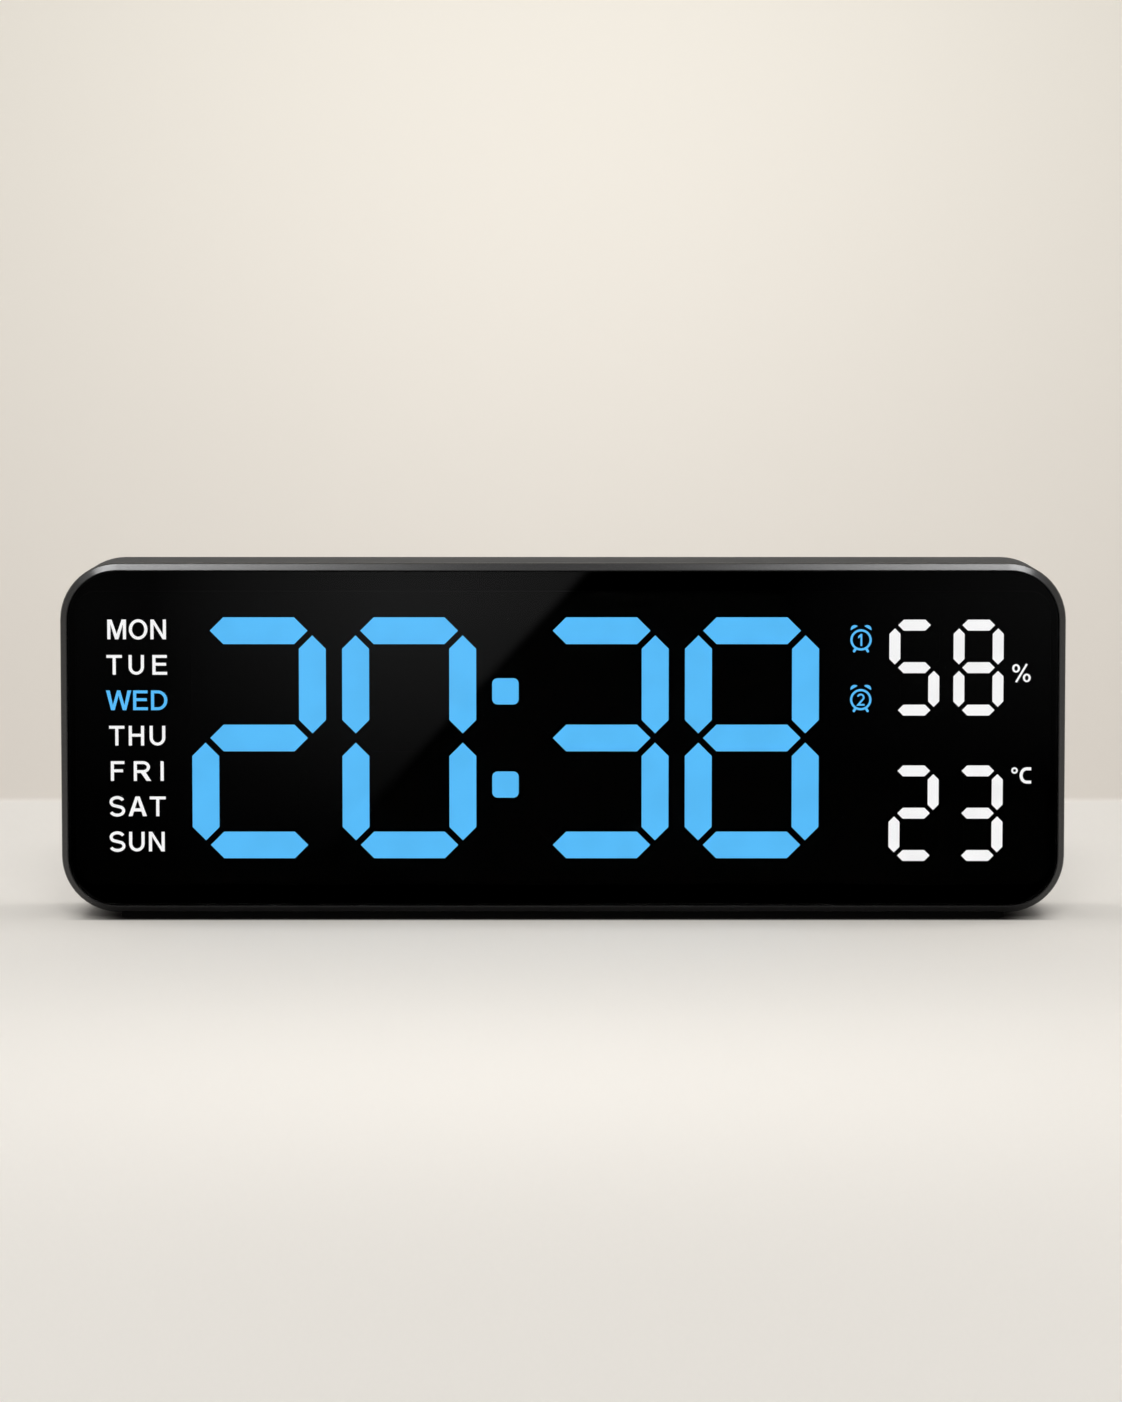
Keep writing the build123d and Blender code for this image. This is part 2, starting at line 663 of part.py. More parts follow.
# The two dots between hours and minutes
with BuildPart() as colon_dots:
    with BuildSketch(upright(INSERT_BACK_Y)):
        with Locations(*COLON_DOTS):
            RectangleRounded(COLON_SIZE, COLON_SIZE, COLON_ROUND)
    extrude(amount=INSERT_THICKNESS)
save(colon_dots, "colon_dots")

# Light bars behind the weekdays, the alarm signs and the unit signs
with BuildPart() as legend_bars:
    with BuildSketch(upright(INSERT_BACK_Y)):
        draw_legend_bars()
    extrude(amount=INSERT_THICKNESS)
save(legend_bars, "legend_bars")

# Circuit board with screw ears, a tab under the inlet and slots that shield the sensor
with BuildPart() as main_board:
    tab_root_x = BOX_WIDTH / 2 - BOARD_ROUND
    with BuildSketch(upright(BOARD_BACK_Y)):
        RectangleRounded(BOX_WIDTH, BOX_HEIGHT, BOARD_ROUND)
        draw_ears()
        with Locations(((tab_root_x + TAB_END_X) / 2, INLET_Z)):
            Rectangle(TAB_END_X - tab_root_x, TAB_WIDTH)
        with Locations(*BOARD_SCREWS):
            Circle(BOARD_SCREW_RADIUS + SCREW_CLEARANCE, mode=Mode.SUBTRACT)
        slot_shift = SENSOR_SIZE / 2 + SENSOR_MOAT
        with Locations((SENSOR_X - slot_shift, SENSOR_Z), (SENSOR_X + slot_shift, SENSOR_Z)):
            SlotOverall(2 * slot_shift, SENSOR_SLOT, rotation=90, mode=Mode.SUBTRACT)
    extrude(amount=BOARD_THICKNESS)
save(main_board, "main_board")

# LEDs on the board's front: two to a large segment or weekday, one to each other window
with BuildPart() as segment_leds:
    half_spread = LED_SPREAD / 2
    with BuildSketch(upright(BOX_BACK_Y)):
        for _, _, place, size in TIME_DIGITS:
            for x, z, turn, _ in segment_places(size).values():
                step_x = half_spread if turn == 0 else 0
                step_z = half_spread - step_x
                with Locations(
                    (place[0] + x - step_x, place[1] + z - step_z),
                    (place[0] + x + step_x, place[1] + z + step_z),
                ):
                    Rectangle(LED_LENGTH, LED_WIDTH, rotation=turn)
        for _, _, place, size in CLIMATE_DIGITS:
            for x, z, turn, _ in segment_places(size).values():
                with Locations((place[0] + x, place[1] + z)):
                    Rectangle(SMALL_LED_LENGTH, SMALL_LED_WIDTH, rotation=turn)
        for x, z in WEEKDAYS:
            with Locations((x - half_spread, z), (x + half_spread, z)):
                Rectangle(LED_LENGTH, LED_WIDTH)
        with Locations(*COLON_DOTS, *ALARMS, *UNITS):
            Rectangle(LED_LENGTH, LED_WIDTH)
    extrude(amount=LED_HEIGHT)
save(segment_leds, "segment_leds")

# Controller with leads on all four sides
with BuildPart() as controller_chip:
    lead_span = CHIP_SIZE + 2 * LEAD_REACH
    with BuildSketch(upright(BOARD_BACK_Y + CHIP_STANDOFF)):
        with Locations((CHIP_X, CHIP_Z)):
            with GridLocations(0, LEAD_PITCH, 1, LEAD_COUNT):
                Rectangle(lead_span, LEAD_WIDTH)
            with GridLocations(LEAD_PITCH, 0, LEAD_COUNT, 1):
                Rectangle(LEAD_WIDTH, lead_span)
    extrude(amount=CHIP_STANDOFF)
    with BuildSketch(upright(BOARD_BACK_Y + CHIP_STANDOFF + CHIP_HEIGHT)):
        with Locations((CHIP_X, CHIP_Z)):
            Rectangle(CHIP_SIZE, CHIP_SIZE)
    extrude(amount=CHIP_HEIGHT)
    chamfer(controller_chip.faces().sort_by(Axis.Y)[-1].edges(), CHIP_EDGE)
save(controller_chip, "controller_chip")

# Two segment drivers with leads on their long sides
with BuildPart() as driver_chips:
    drivers = [(-DRIVER_SPACING / 2, DRIVER_Z), (DRIVER_SPACING / 2, DRIVER_Z)]
    with BuildSketch(upright(BOARD_BACK_Y + CHIP_STANDOFF)):
        with Locations(*drivers):
            with GridLocations(LEAD_PITCH, 0, LEAD_COUNT, 1):
                Rectangle(LEAD_WIDTH, DRIVER_WIDTH + 2 * LEAD_REACH)
    extrude(amount=CHIP_STANDOFF)
    with BuildSketch(upright(BOARD_BACK_Y + CHIP_STANDOFF + CHIP_HEIGHT)):
        with Locations(*drivers):
            Rectangle(DRIVER_LENGTH, DRIVER_WIDTH)
    extrude(amount=CHIP_HEIGHT)
    chamfer(driver_chips.faces().group_by(Axis.Y)[-1].edges(), CHIP_EDGE)
save(driver_chips, "driver_chips")

# Quartz can, lying beside the controller
with BuildPart() as quartz_can:
    can_x = CHIP_X + CHIP_SIZE / 2 + LEAD_REACH + CRYSTAL_GAP
    can_origin = (can_x, BOARD_BACK_Y + CRYSTAL_RADIUS + CRYSTAL_LIFT, CENTRE_Z + CHIP_Z)
    with BuildSketch(Plane(origin=can_origin, x_dir=(0, 1, 0), z_dir=(1, 0, 0))):
        Circle(CRYSTAL_RADIUS)
    extrude(amount=CRYSTAL_LENGTH)
    fillet(quartz_can.faces().sort_by(Axis.X)[-1].edges(), CRYSTAL_ROUND)
save(quartz_can, "quartz_can")

# Two supply capacitors beside the inlet
with BuildPart() as supply_capacitors:
    capacitor_x = HALF_WIDTH - CAPACITOR_INSET
    with BuildSketch(upright(BOARD_BACK_Y + CAPACITOR_HEIGHT)):
        with Locations((capacitor_x, CAPACITOR_Z), (capacitor_x - CAPACITOR_PITCH, CAPACITOR_Z)):
            Circle(CAPACITOR_RADIUS)
    extrude(amount=CAPACITOR_HEIGHT)
    fillet(supply_capacitors.faces().group_by(Axis.Y)[-1].edges(), CAPACITOR_ROUND)
save(supply_capacitors, "supply_capacitors")

# Alarm buzzer with its sound port, behind the sound holes of the rear shell
with BuildPart() as buzzer:
    with BuildSketch(upright(BOARD_BACK_Y + BUZZER_HEIGHT)):
        with Locations((BUZZER_X, BUZZER_Z)):
            Circle(BUZZER_RADIUS)
    extrude(amount=BUZZER_HEIGHT)
    fillet(buzzer.faces().sort_by(Axis.Y)[-1].edges(), BUZZER_ROUND)
    with BuildSketch(upright(BOARD_BACK_Y + BUZZER_HEIGHT)):
        with Locations((BUZZER_X, BUZZER_Z)):
            Circle(BUZZER_PORT)
    extrude(amount=BUZZER_PORT_DEPTH, mode=Mode.SUBTRACT)
save(buzzer, "buzzer")

# Temperature and humidity sensor, behind the vents of the rear shell
with BuildPart() as climate_sensor:
    with BuildSketch(upright(BOARD_BACK_Y + SENSOR_HEIGHT)):
        with Locations((SENSOR_X, SENSOR_Z)):
            Rectangle(SENSOR_SIZE, SENSOR_SIZE)
    extrude(amount=SENSOR_HEIGHT)
    with BuildSketch(upright(BOARD_BACK_Y + SENSOR_HEIGHT)):
        with Locations((SENSOR_X, SENSOR_Z)):
            Circle(SENSOR_PORT)
    extrude(amount=SENSOR_PORT_DEPTH, mode=Mode.SUBTRACT)
save(climate_sensor, "climate_sensor")

# Power inlet: a metal shell, open to the right, and the tongue inside it
with BuildPart() as inlet_shell:
    with BuildSketch(inlet_plane(INLET_END_X)):
        SlotOverall(INLET_WIDTH, INLET_HEIGHT, rotation=90)
    extrude(amount=INLET_LENGTH)
    with BuildSketch(inlet_plane(INLET_END_X + INLET_SHELL)):
        SlotOverall(
            INLET_WIDTH - 2 * INLET_SHELL,
            INLET_HEIGHT - 2 * INLET_SHELL,
            rotation=90,
        )
    extrude(amount=INLET_LENGTH - INLET_SHELL, mode=Mode.SUBTRACT)
save(inlet_shell, "inlet_shell")

with BuildPart() as inlet_tongue:
    inset = 2 * (INLET_SHELL + CONTACT_GAP)
    with BuildSketch(inlet_plane(INLET_END_X + INLET_SHELL)):
        SlotOverall(INLET_WIDTH - inset, INLET_HEIGHT - inset, rotation=90)
    extrude(amount=INLET_LENGTH - INLET_SHELL - INLET_SETBACK - TONGUE_REACH)
    with BuildSketch(inlet_plane(INLET_END_X + INLET_SHELL)):
        Rectangle(TONGUE_THICKNESS, TONGUE_WIDTH)
    extrude(amount=INLET_LENGTH - INLET_SHELL - INLET_SETBACK)
save(inlet_tongue, "inlet_tongue")

# Push switches on the board, each with a well for its plunger
with BuildPart() as key_switches:
    with BuildSketch(upright(SWITCH_TOP_Y)):
        with Locations(*KEYS):
            Rectangle(SWITCH_SIZE, SWITCH_SIZE)
    extrude(amount=SWITCH_HEIGHT)
    with BuildSketch(upright(SWITCH_TOP_Y)):
        with Locations(*KEYS):
            Circle(PLUNGER_RADIUS + PLUNGER_FIT)
    extrude(amount=PLUNGER_WELL, mode=Mode.SUBTRACT)
save(key_switches, "key_switches")

# Each key has a cap, a flange that keeps it in the shell, and a stem on its switch's plunger
for name, place in zip(KEY_NAMES, KEYS):
    with BuildPart() as key:
        with BuildSketch(upright(PANEL_FACE_Y + KEY_PROUD)):
            with Locations(place):
                Circle(KEY_RADIUS)
        extrude(amount=PANEL_FACE_Y + KEY_PROUD - FLANGE_BACK_Y)
        fillet(key.faces().sort_by(Axis.Y)[-1].edges(), KEY_EDGE)
        with BuildSketch(upright(FLANGE_BACK_Y)):
            with Locations(place):
                Circle(KEY_RADIUS + FLANGE_WIDTH)
        extrude(amount=FLANGE_THICKNESS)
        with BuildSketch(upright(FLANGE_BACK_Y - FLANGE_THICKNESS)):
            with Locations(place):
                Circle(STEM_RADIUS)
        extrude(amount=FLANGE_BACK_Y - FLANGE_THICKNESS - PLUNGER_END_Y)
    save(key, f"{name}_key")
    with BuildPart() as plunger:
        with BuildSketch(upright(PLUNGER_END_Y)):
            with Locations(place):
                Circle(PLUNGER_RADIUS)
        extrude(amount=PLUNGER_REACH + PLUNGER_SUNK)
    save(plunger, f"{name}_plunger")

# Rear shell with everything that is moulded into it
with BuildPart() as rear_shell:
    with BuildSketch(upright(BACK_Y)):
        draw_case_outline(0)
    extrude(amount=BACK_Y - PARTING_Y)
    fillet(rear_shell.faces().sort_by(Axis.Y)[-1].edges(), REAR_ROUND)
    chamfer(rear_shell.faces().sort_by(Axis.Y)[0].edges(), SEAM_EDGE)
    with BuildSketch(upright(BACK_WALL_Y)):
        draw_case_outline(WALL)
    extrude(amount=BACK_WALL_Y - PARTING_Y, mode=Mode.SUBTRACT)

    # Solid blocks behind the wall: screw tubes, keyhole pockets, key panel, cell tub, foot bays
    with BuildSketch(upright(BACK_WALL_Y)):
        with Locations(*CASE_SCREWS):
            Circle(TUBE_RADIUS)
    extrude(amount=BACK_WALL_Y - BOSS_END_Y)
    pocket_width = 2 * (KEYHOLE_HEAD_RADIUS + KEYHOLE_POCKET_MARGIN)
    pocket_length = KEYHOLE_LENGTH + pocket_width
    pockets = [(x, z + KEYHOLE_LENGTH / 2) for x, z in KEYHOLES]
    with BuildSketch(upright(BACK_WALL_Y)):
        with Locations(*pockets):
            SlotOverall(
                pocket_length + 2 * POCKET_WALL,
                pocket_width + 2 * POCKET_WALL,
                rotation=90,
            )
    extrude(amount=KEYHOLE_POCKET_DEPTH + POCKET_WALL)
    panel_length = (len(KEY_NAMES) - 1) * KEY_PITCH + 2 * (KEY_RADIUS + KEY_MARGIN)
    panel_height = 2 * (KEY_RADIUS + KEY_MARGIN)
    with BuildSketch(upright(BACK_WALL_Y)):
        with Locations((0, KEY_Z)):
            SlotOverall(panel_length + 2 * WALL, panel_height + 2 * WALL)
    extrude(amount=BACK_WALL_Y - PANEL_BACK_Y)
    tub_bottom_z = DOOR_BOTTOM_Z - DOOR_SWING_GAP
    tub_top_z = DOOR_TOP_Z + DOOR_FIT
    tub_width = DOOR_WIDTH + 2 * DOOR_FIT
    tub_height = tub_top_z - tub_bottom_z
    tub_place = (CELL_X, (tub_top_z + tub_bottom_z) / 2)
    with BuildSketch(upright(BACK_WALL_Y)):
        with Locations(tub_place):
            Rectangle(tub_width + 2 * TUB_WALL, tub_height + 2 * TUB_WALL)
    extrude(amount=BACK_WALL_Y - TUB_FLOOR_Y + TUB_WALL)
    bay_bottom_z = -HALF_HEIGHT + WALL / 2
    bay_top_z = RECESS_TOP_Z + RECESS_WALL
    with BuildSketch(upright(BACK_WALL_Y)):
        for _, side in SIDES:
            with Locations((side * (RECESS_INNER_X + RECESS_OUTER_X) / 2, (bay_bottom_z + bay_top_z) / 2)):
                Rectangle(
                    RECESS_OUTER_X - RECESS_INNER_X + 2 * RECESS_WALL,
                    bay_top_z - bay_bottom_z,
                )
            with Locations((side * HINGE_X, RECESS_TOP_Z)):
                Rectangle(
                    FOOT_THICKNESS,
                    HINGE_BLOCK + PIN_END_GAP + RECESS_WALL,
                    align=(Align.CENTER, Align.MIN),
                )
    extrude(amount=BACK_WALL_Y - RECESS_Y + RECESS_WALL)

    # Screw wells and the holes at their floors
    with BuildSketch(upright(BACK_Y)):
        with Locations(*CASE_SCREWS):
            Circle(SCREW_HEAD_RADIUS + HEAD_CLEARANCE)
    extrude(amount=BACK_Y - SCREW_SEAT_Y, mode=Mode.SUBTRACT)
    with BuildSketch(upright(SCREW_SEAT_Y)):
        with Locations(*CASE_SCREWS):
            Circle(SCREW_RADIUS + SCREW_CLEARANCE)
    extrude(amount=SCREW_SEAT, mode=Mode.SUBTRACT)

    # Keyholes: a round mouth with a narrow neck above it, and room for the screw head behind
    with BuildSketch(upright(BACK_WALL_Y)):
        with Locations(*pockets):
            SlotOverall(pocket_length, pocket_width, rotation=90)
    extrude(amount=KEYHOLE_POCKET_DEPTH, mode=Mode.SUBTRACT)
    with BuildSketch(upright(BACK_Y)):
        for x, z in KEYHOLES:
            with Locations((x, z)):
                Circle(KEYHOLE_HEAD_RADIUS)
            with Locations((x, z + KEYHOLE_LENGTH / 2)):
                SlotCenterToCenter(KEYHOLE_LENGTH, 2 * KEYHOLE_NECK_RADIUS, rotation=90)
    extrude(amount=WALL, mode=Mode.SUBTRACT)

    # Sunk key panel with a hole for each key
    with BuildSketch(upright(BACK_Y)):
        with Locations((0, KEY_Z)):
            SlotOverall(panel_length, panel_height)
    extrude(amount=KEY_RECESS, mode=Mode.SUBTRACT)
    with BuildSketch(upright(PANEL_FACE_Y)):
        with Locations(*KEYS):
            Circle(KEY_RADIUS + KEY_FIT)
    extrude(amount=WALL, mode=Mode.SUBTRACT)

    # Cell tub: the door's seat, the groove for its barrel, the round cell well and a nail scallop
    with BuildSketch(upright(BACK_Y)):
        with Locations(tub_place):
            Rectangle(tub_width, tub_height)
    extrude(amount=BACK_Y - DOOR_BACK_Y + DOOR_FIT, mode=Mode.SUBTRACT)
    groove_height = DOOR_SWING_GAP + 2 * DOOR_BARREL_RADIUS + DOOR_FIT
    with BuildSketch(upright(DOOR_BACK_Y)):
        with Locations((CELL_X, tub_bottom_z)):
            Rectangle(tub_width, groove_height, align=(Align.CENTER, Align.MIN))
    extrude(amount=DOOR_BARREL_RADIUS + DOOR_FIT, mode=Mode.SUBTRACT)
    with BuildSketch(upright(DOOR_BACK_Y)):
        with Locations((CELL_X, CELL_Z)):
            Circle(CELL_RADIUS + CELL_FIT)
    extrude(amount=DOOR_BACK_Y - TUB_FLOOR_Y, mode=Mode.SUBTRACT)
    with BuildSketch(upright(BACK_Y)):
        with Locations((CELL_X, tub_top_z)):
            Circle(DOOR_SCALLOP_RADIUS)
    extrude(amount=DOOR_SCALLOP_DEPTH, mode=Mode.SUBTRACT)
    contact_slot = (CONTACT_THICKNESS + 2 * CONTACT_ROOM, CONTACT_WIDTH + 2 * CONTACT_ROOM)
    with BuildSketch(upright(DOOR_BACK_Y)):
        with Locations((CELL_X + CELL_RADIUS + CONTACT_GAP + CONTACT_THICKNESS / 2, CELL_Z)):
            Rectangle(*contact_slot)
    extrude(amount=DOOR_BACK_Y - TUB_FLOOR_Y + TUB_WALL, mode=Mode.SUBTRACT)
    with BuildSketch(upright(TUB_FLOOR_Y)):
        with Locations((CELL_X - CONTACT_REACH, CELL_Z)):
            Rectangle(*contact_slot)
    extrude(amount=TUB_WALL, mode=Mode.SUBTRACT)
    pin_span = tub_width + 2 * (DOOR_PIN_LENGTH + DOOR_PIN_FIT)
    pin_origin = (CELL_X - pin_span / 2, DOOR_BACK_Y, CENTRE_Z + DOOR_AXIS_Z)
    with BuildSketch(Plane(origin=pin_origin, x_dir=(0, 1, 0), z_dir=(1, 0, 0))):
        Circle(DOOR_PIN_RADIUS + DOOR_PIN_FIT)
    extrude(amount=pin_span, mode=Mode.SUBTRACT)

    # Vents over the sensor and sound holes over the buzzer
    with BuildSketch(upright(BACK_Y)):
        with Locations((SENSOR_X, SENSOR_Z)):
            with GridLocations(VENT_PITCH, 0, VENT_COUNT, 1):
                SlotOverall(VENT_LENGTH, VENT_WIDTH, rotation=90)
        with Locations((BUZZER_X, BUZZER_Z)):
            Circle(SOUND_HOLE_RADIUS)
            with PolarLocations(SOUND_RING_RADIUS, SOUND_RING_COUNT):
                Circle(SOUND_HOLE_RADIUS)
    extrude(amount=WALL, mode=Mode.SUBTRACT)

    # Foot bays, open behind and below, with a lug left under each hinge
    with BuildSketch(upright(BACK_Y)):
        for _, side in SIDES:
            with Locations((side * (RECESS_INNER_X + LUG_INNER_X) / 2, RECESS_TOP_Z)):
                Rectangle(
                    LUG_INNER_X - RECESS_INNER_X,
                    RECESS_TOP_Z + HALF_HEIGHT,
                    align=(Align.CENTER, Align.MAX),
                )
            with Locations((side * (RECESS_INNER_X + RECESS_OUTER_X) / 2, RECESS_TOP_Z)):
                Rectangle(
                    RECESS_OUTER_X - RECESS_INNER_X,
                    RECESS_TOP_Z + HALF_HEIGHT - LUG_HEIGHT,
                    align=(Align.CENTER, Align.MAX),
                )
    extrude(amount=BACK_Y - RECESS_Y, mode=Mode.SUBTRACT)
    with BuildSketch(level(PAD_HEIGHT)):
        for _, side in SIDES:
            with Locations((side * HINGE_X, FOOT_Y)):
                Circle(FOOT_PIN_RADIUS + PIN_SEAT_FIT)
    extrude(amount=PIN_TOP_Z + PIN_END_GAP - PAD_HEIGHT, mode=Mode.SUBTRACT)

    # Inlet opening, with a shallow relief for the body of a plug
    with BuildSketch(inlet_plane(HALF_WIDTH)):
        SlotOverall(INLET_RELIEF_WIDTH, INLET_RELIEF_HEIGHT, rotation=90)
    extrude(amount=-INLET_SETBACK, mode=Mode.SUBTRACT)
    with BuildSketch(inlet_plane(HALF_WIDTH)):
        SlotOverall(INLET_WIDTH + 2 * INLET_FIT, INLET_HEIGHT + 2 * INLET_FIT, rotation=90)
    extrude(amount=-WALL, mode=Mode.SUBTRACT)
save(rear_shell, "rear_shell")

# Backup cell
with BuildPart() as backup_cell:
    with BuildSketch(upright(CELL_BACK_Y)):
        with Locations((CELL_X, CELL_Z)):
            Circle(CELL_RADIUS)
    extrude(amount=CELL_THICKNESS)
    chamfer(backup_cell.faces().sort_by(Axis.Y)[0].edges(), CELL_EDGE)
save(backup_cell, "backup_cell")

# Contact at the cell's rim, a strip whose tail rests on the board
with BuildPart() as rim_contact:
    with BuildSketch(upright(CELL_BACK_Y)):
        with Locations((CELL_X + CELL_RADIUS + CONTACT_GAP + CONTACT_THICKNESS / 2, CELL_Z)):
            Rectangle(CONTACT_THICKNESS, CONTACT_WIDTH)
    extrude(amount=CELL_BACK_Y - BOARD_BACK_Y)
save(rim_contact, "rim_contact")

# Contact under the cell, a flat strip with a tail that rests on the board
with BuildPart() as base_contact:
    with BuildSketch(upright(TUB_FLOOR_Y + CONTACT_THICKNESS)):
        with Locations((CELL_X, CELL_Z)):
            Rectangle(2 * CONTACT_REACH, CONTACT_WIDTH)
    extrude(amount=CONTACT_THICKNESS)
    with BuildSketch(upright(TUB_FLOOR_Y + CONTACT_THICKNESS)):
        with Locations((CELL_X - CONTACT_REACH, CELL_Z)):
            Rectangle(CONTACT_THICKNESS, CONTACT_WIDTH)
    extrude(amount=TUB_FLOOR_Y + CONTACT_THICKNESS - BOARD_BACK_Y)
save(base_contact, "base_contact")

# Cell door with a barrel and two stub pins along its lower edge
with BuildPart() as cell_door:
    with BuildSketch(upright(DOOR_FACE_Y)):
        with Locations((CELL_X, CELL_Z)):
            Rectangle(DOOR_WIDTH, DOOR_HEIGHT)
    extrude(amount=DOOR_THICKNESS)
    top_corners = cell_door.edges().filter_by(Axis.Y).group_by(Axis.Z)[-1]
    fillet(top_corners, DOOR_ROUND)
    barrel_origin = (CELL_X - DOOR_WIDTH / 2, DOOR_BACK_Y, CENTRE_Z + DOOR_AXIS_Z)
    with BuildSketch(Plane(origin=barrel_origin, x_dir=(0, 1, 0), z_dir=(1, 0, 0))):
        Circle(DOOR_BARREL_RADIUS)
    extrude(amount=DOOR_WIDTH)
    door_pin_span = DOOR_WIDTH + 2 * (DOOR_FIT + DOOR_PIN_LENGTH)
    stub_origin = (CELL_X - door_pin_span / 2, DOOR_BACK_Y, CENTRE_Z + DOOR_AXIS_Z)
    with BuildSketch(Plane(origin=stub_origin, x_dir=(0, 1, 0), z_dir=(1, 0, 0))):
        Circle(DOOR_PIN_RADIUS)
    extrude(amount=door_pin_span)
save(cell_door, "cell_door")

# Each swing-out foot is a flat blade with a round knuckle, a rubber tip and an upright pin
for name, side in SIDES:
    hinge = (side * HINGE_X, FOOT_Y)
    with BuildPart() as foot:
        with BuildSketch(level(PAD_HEIGHT)):
            with Locations((side * (HINGE_X - FOOT_LENGTH / 2), FOOT_Y)):
                Rectangle(FOOT_LENGTH, FOOT_THICKNESS)
            with Locations(hinge):
                Circle(FOOT_THICKNESS / 2)
        extrude(amount=FOOT_HEIGHT)
        end_corners = foot.edges().filter_by(Axis.Z).sort_by_distance((*hinge, PAD_HEIGHT))[-2:]
        fillet(end_corners, FOOT_TIP_ROUND)
        lower_edge = foot.edges().filter_by(Axis.X).group_by(Axis.Z)[0].sort_by(Axis.Y)[-1]
        fillet(lower_edge, FOOT_EDGE)
        with BuildSketch(level(PAD_HEIGHT)):
            with Locations(hinge):
                Rectangle(2 * FOOT_RELIEF, FOOT_THICKNESS)
        extrude(amount=LUG_HEIGHT + LUG_GAP, mode=Mode.SUBTRACT)
        with BuildSketch(level(PAD_HEIGHT)):
            with Locations(hinge):
                Circle(FOOT_PIN_RADIUS + FOOT_PIN_FIT)
        extrude(amount=FOOT_HEIGHT, mode=Mode.SUBTRACT)
    save(foot, f"{name}_foot")
    with BuildPart() as foot_tip:
        tip_width = FOOT_THICKNESS - FOOT_EDGE - 2 * TIP_MARGIN
        tip_x = side * (HINGE_X - FOOT_LENGTH + TIP_INSET + TIP_LENGTH / 2)
        with BuildSketch(level(0)):
            with Locations((tip_x, FOOT_Y - FOOT_EDGE / 2)):
                RectangleRounded(TIP_LENGTH, tip_width, PAD_ROUND)
        extrude(amount=PAD_HEIGHT)
    save(foot_tip, f"{name}_foot_tip")
    with BuildPart() as foot_pin:
        with BuildSketch(level(PIN_BOTTOM_Z)):
            with Locations(hinge):
                Circle(FOOT_PIN_RADIUS)
        extrude(amount=PIN_TOP_Z - PIN_BOTTOM_Z)
    save(foot_pin, f"{name}_foot_pin")

# A long rubber strip under the front frame and two rubber pads under the rear shell
with BuildPart() as base_pads:
    strip_length = CASE_WIDTH - 2 * (CORNER_RADIUS + STRIP_END_GAP)
    strip_y = FRONT_Y + STRIP_SETBACK + STRIP_WIDTH / 2
    rear_pad_y = BACK_Y - REAR_ROUND - PAD_SEAM_GAP - PAD_WIDTH / 2
    pad_x = HALF_WIDTH - PAD_INSET
    with BuildSketch(level(0)):
        with Locations((0, strip_y)):
            RectangleRounded(strip_length, STRIP_WIDTH, PAD_ROUND)
        with Locations((-pad_x, rear_pad_y), (pad_x, rear_pad_y)):
            RectangleRounded(PAD_LENGTH, PAD_WIDTH, PAD_ROUND)
    extrude(amount=PAD_HEIGHT)
save(base_pads, "base_pads")


def draw_cross(radius):
    """Draws the two bars of a cross recess that reach out to radius."""
    Rectangle(2 * radius, CROSS_WIDTH)
    Rectangle(CROSS_WIDTH, 2 * radius)


# Screws that hold the two shells together
with BuildPart() as case_screws:
    with BuildSketch(upright(SCREW_SEAT_Y)):
        with Locations(*CASE_SCREWS):
            Circle(SCREW_RADIUS)
    extrude(amount=SCREW_LENGTH)
    with BuildSketch(upright(SCREW_SEAT_Y + SCREW_HEAD_HEIGHT)):
        with Locations(*CASE_SCREWS):
            Circle(SCREW_HEAD_RADIUS)
    extrude(amount=SCREW_HEAD_HEIGHT)
    with BuildSketch(upright(SCREW_SEAT_Y + SCREW_HEAD_HEIGHT)):
        with Locations(*CASE_SCREWS):
            draw_cross(SCREW_RADIUS)
    extrude(amount=CROSS_DEPTH, mode=Mode.SUBTRACT)
save(case_screws, "case_screws")

# Screws that hold the board and the light box to the front frame
with BuildPart() as board_screws:
    with BuildSketch(upright(BOARD_BACK_Y)):
        with Locations(*BOARD_SCREWS):
            Circle(BOARD_SCREW_RADIUS)
    extrude(amount=BOARD_SCREW_LENGTH)
    with BuildSketch(upright(BOARD_BACK_Y + BOARD_HEAD_HEIGHT)):
        with Locations(*BOARD_SCREWS):
            Circle(BOARD_HEAD_RADIUS)
    extrude(amount=BOARD_HEAD_HEIGHT)
    with BuildSketch(upright(BOARD_BACK_Y + BOARD_HEAD_HEIGHT)):
        with Locations(*BOARD_SCREWS):
            draw_cross(BOARD_SCREW_RADIUS)
    extrude(amount=CROSS_DEPTH, mode=Mode.SUBTRACT)
save(board_screws, "board_screws")
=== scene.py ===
"""Looks of a digital wall clock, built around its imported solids.

X runs to the viewer's right, Y from the face to the back and Z up from the table. The pieces on the
clock are sized in millimetres, the studio around it in Blender's own metres.
"""

import json
import logging
import math
from collections.abc import Callable
from dataclasses import dataclass, field
from enum import Enum

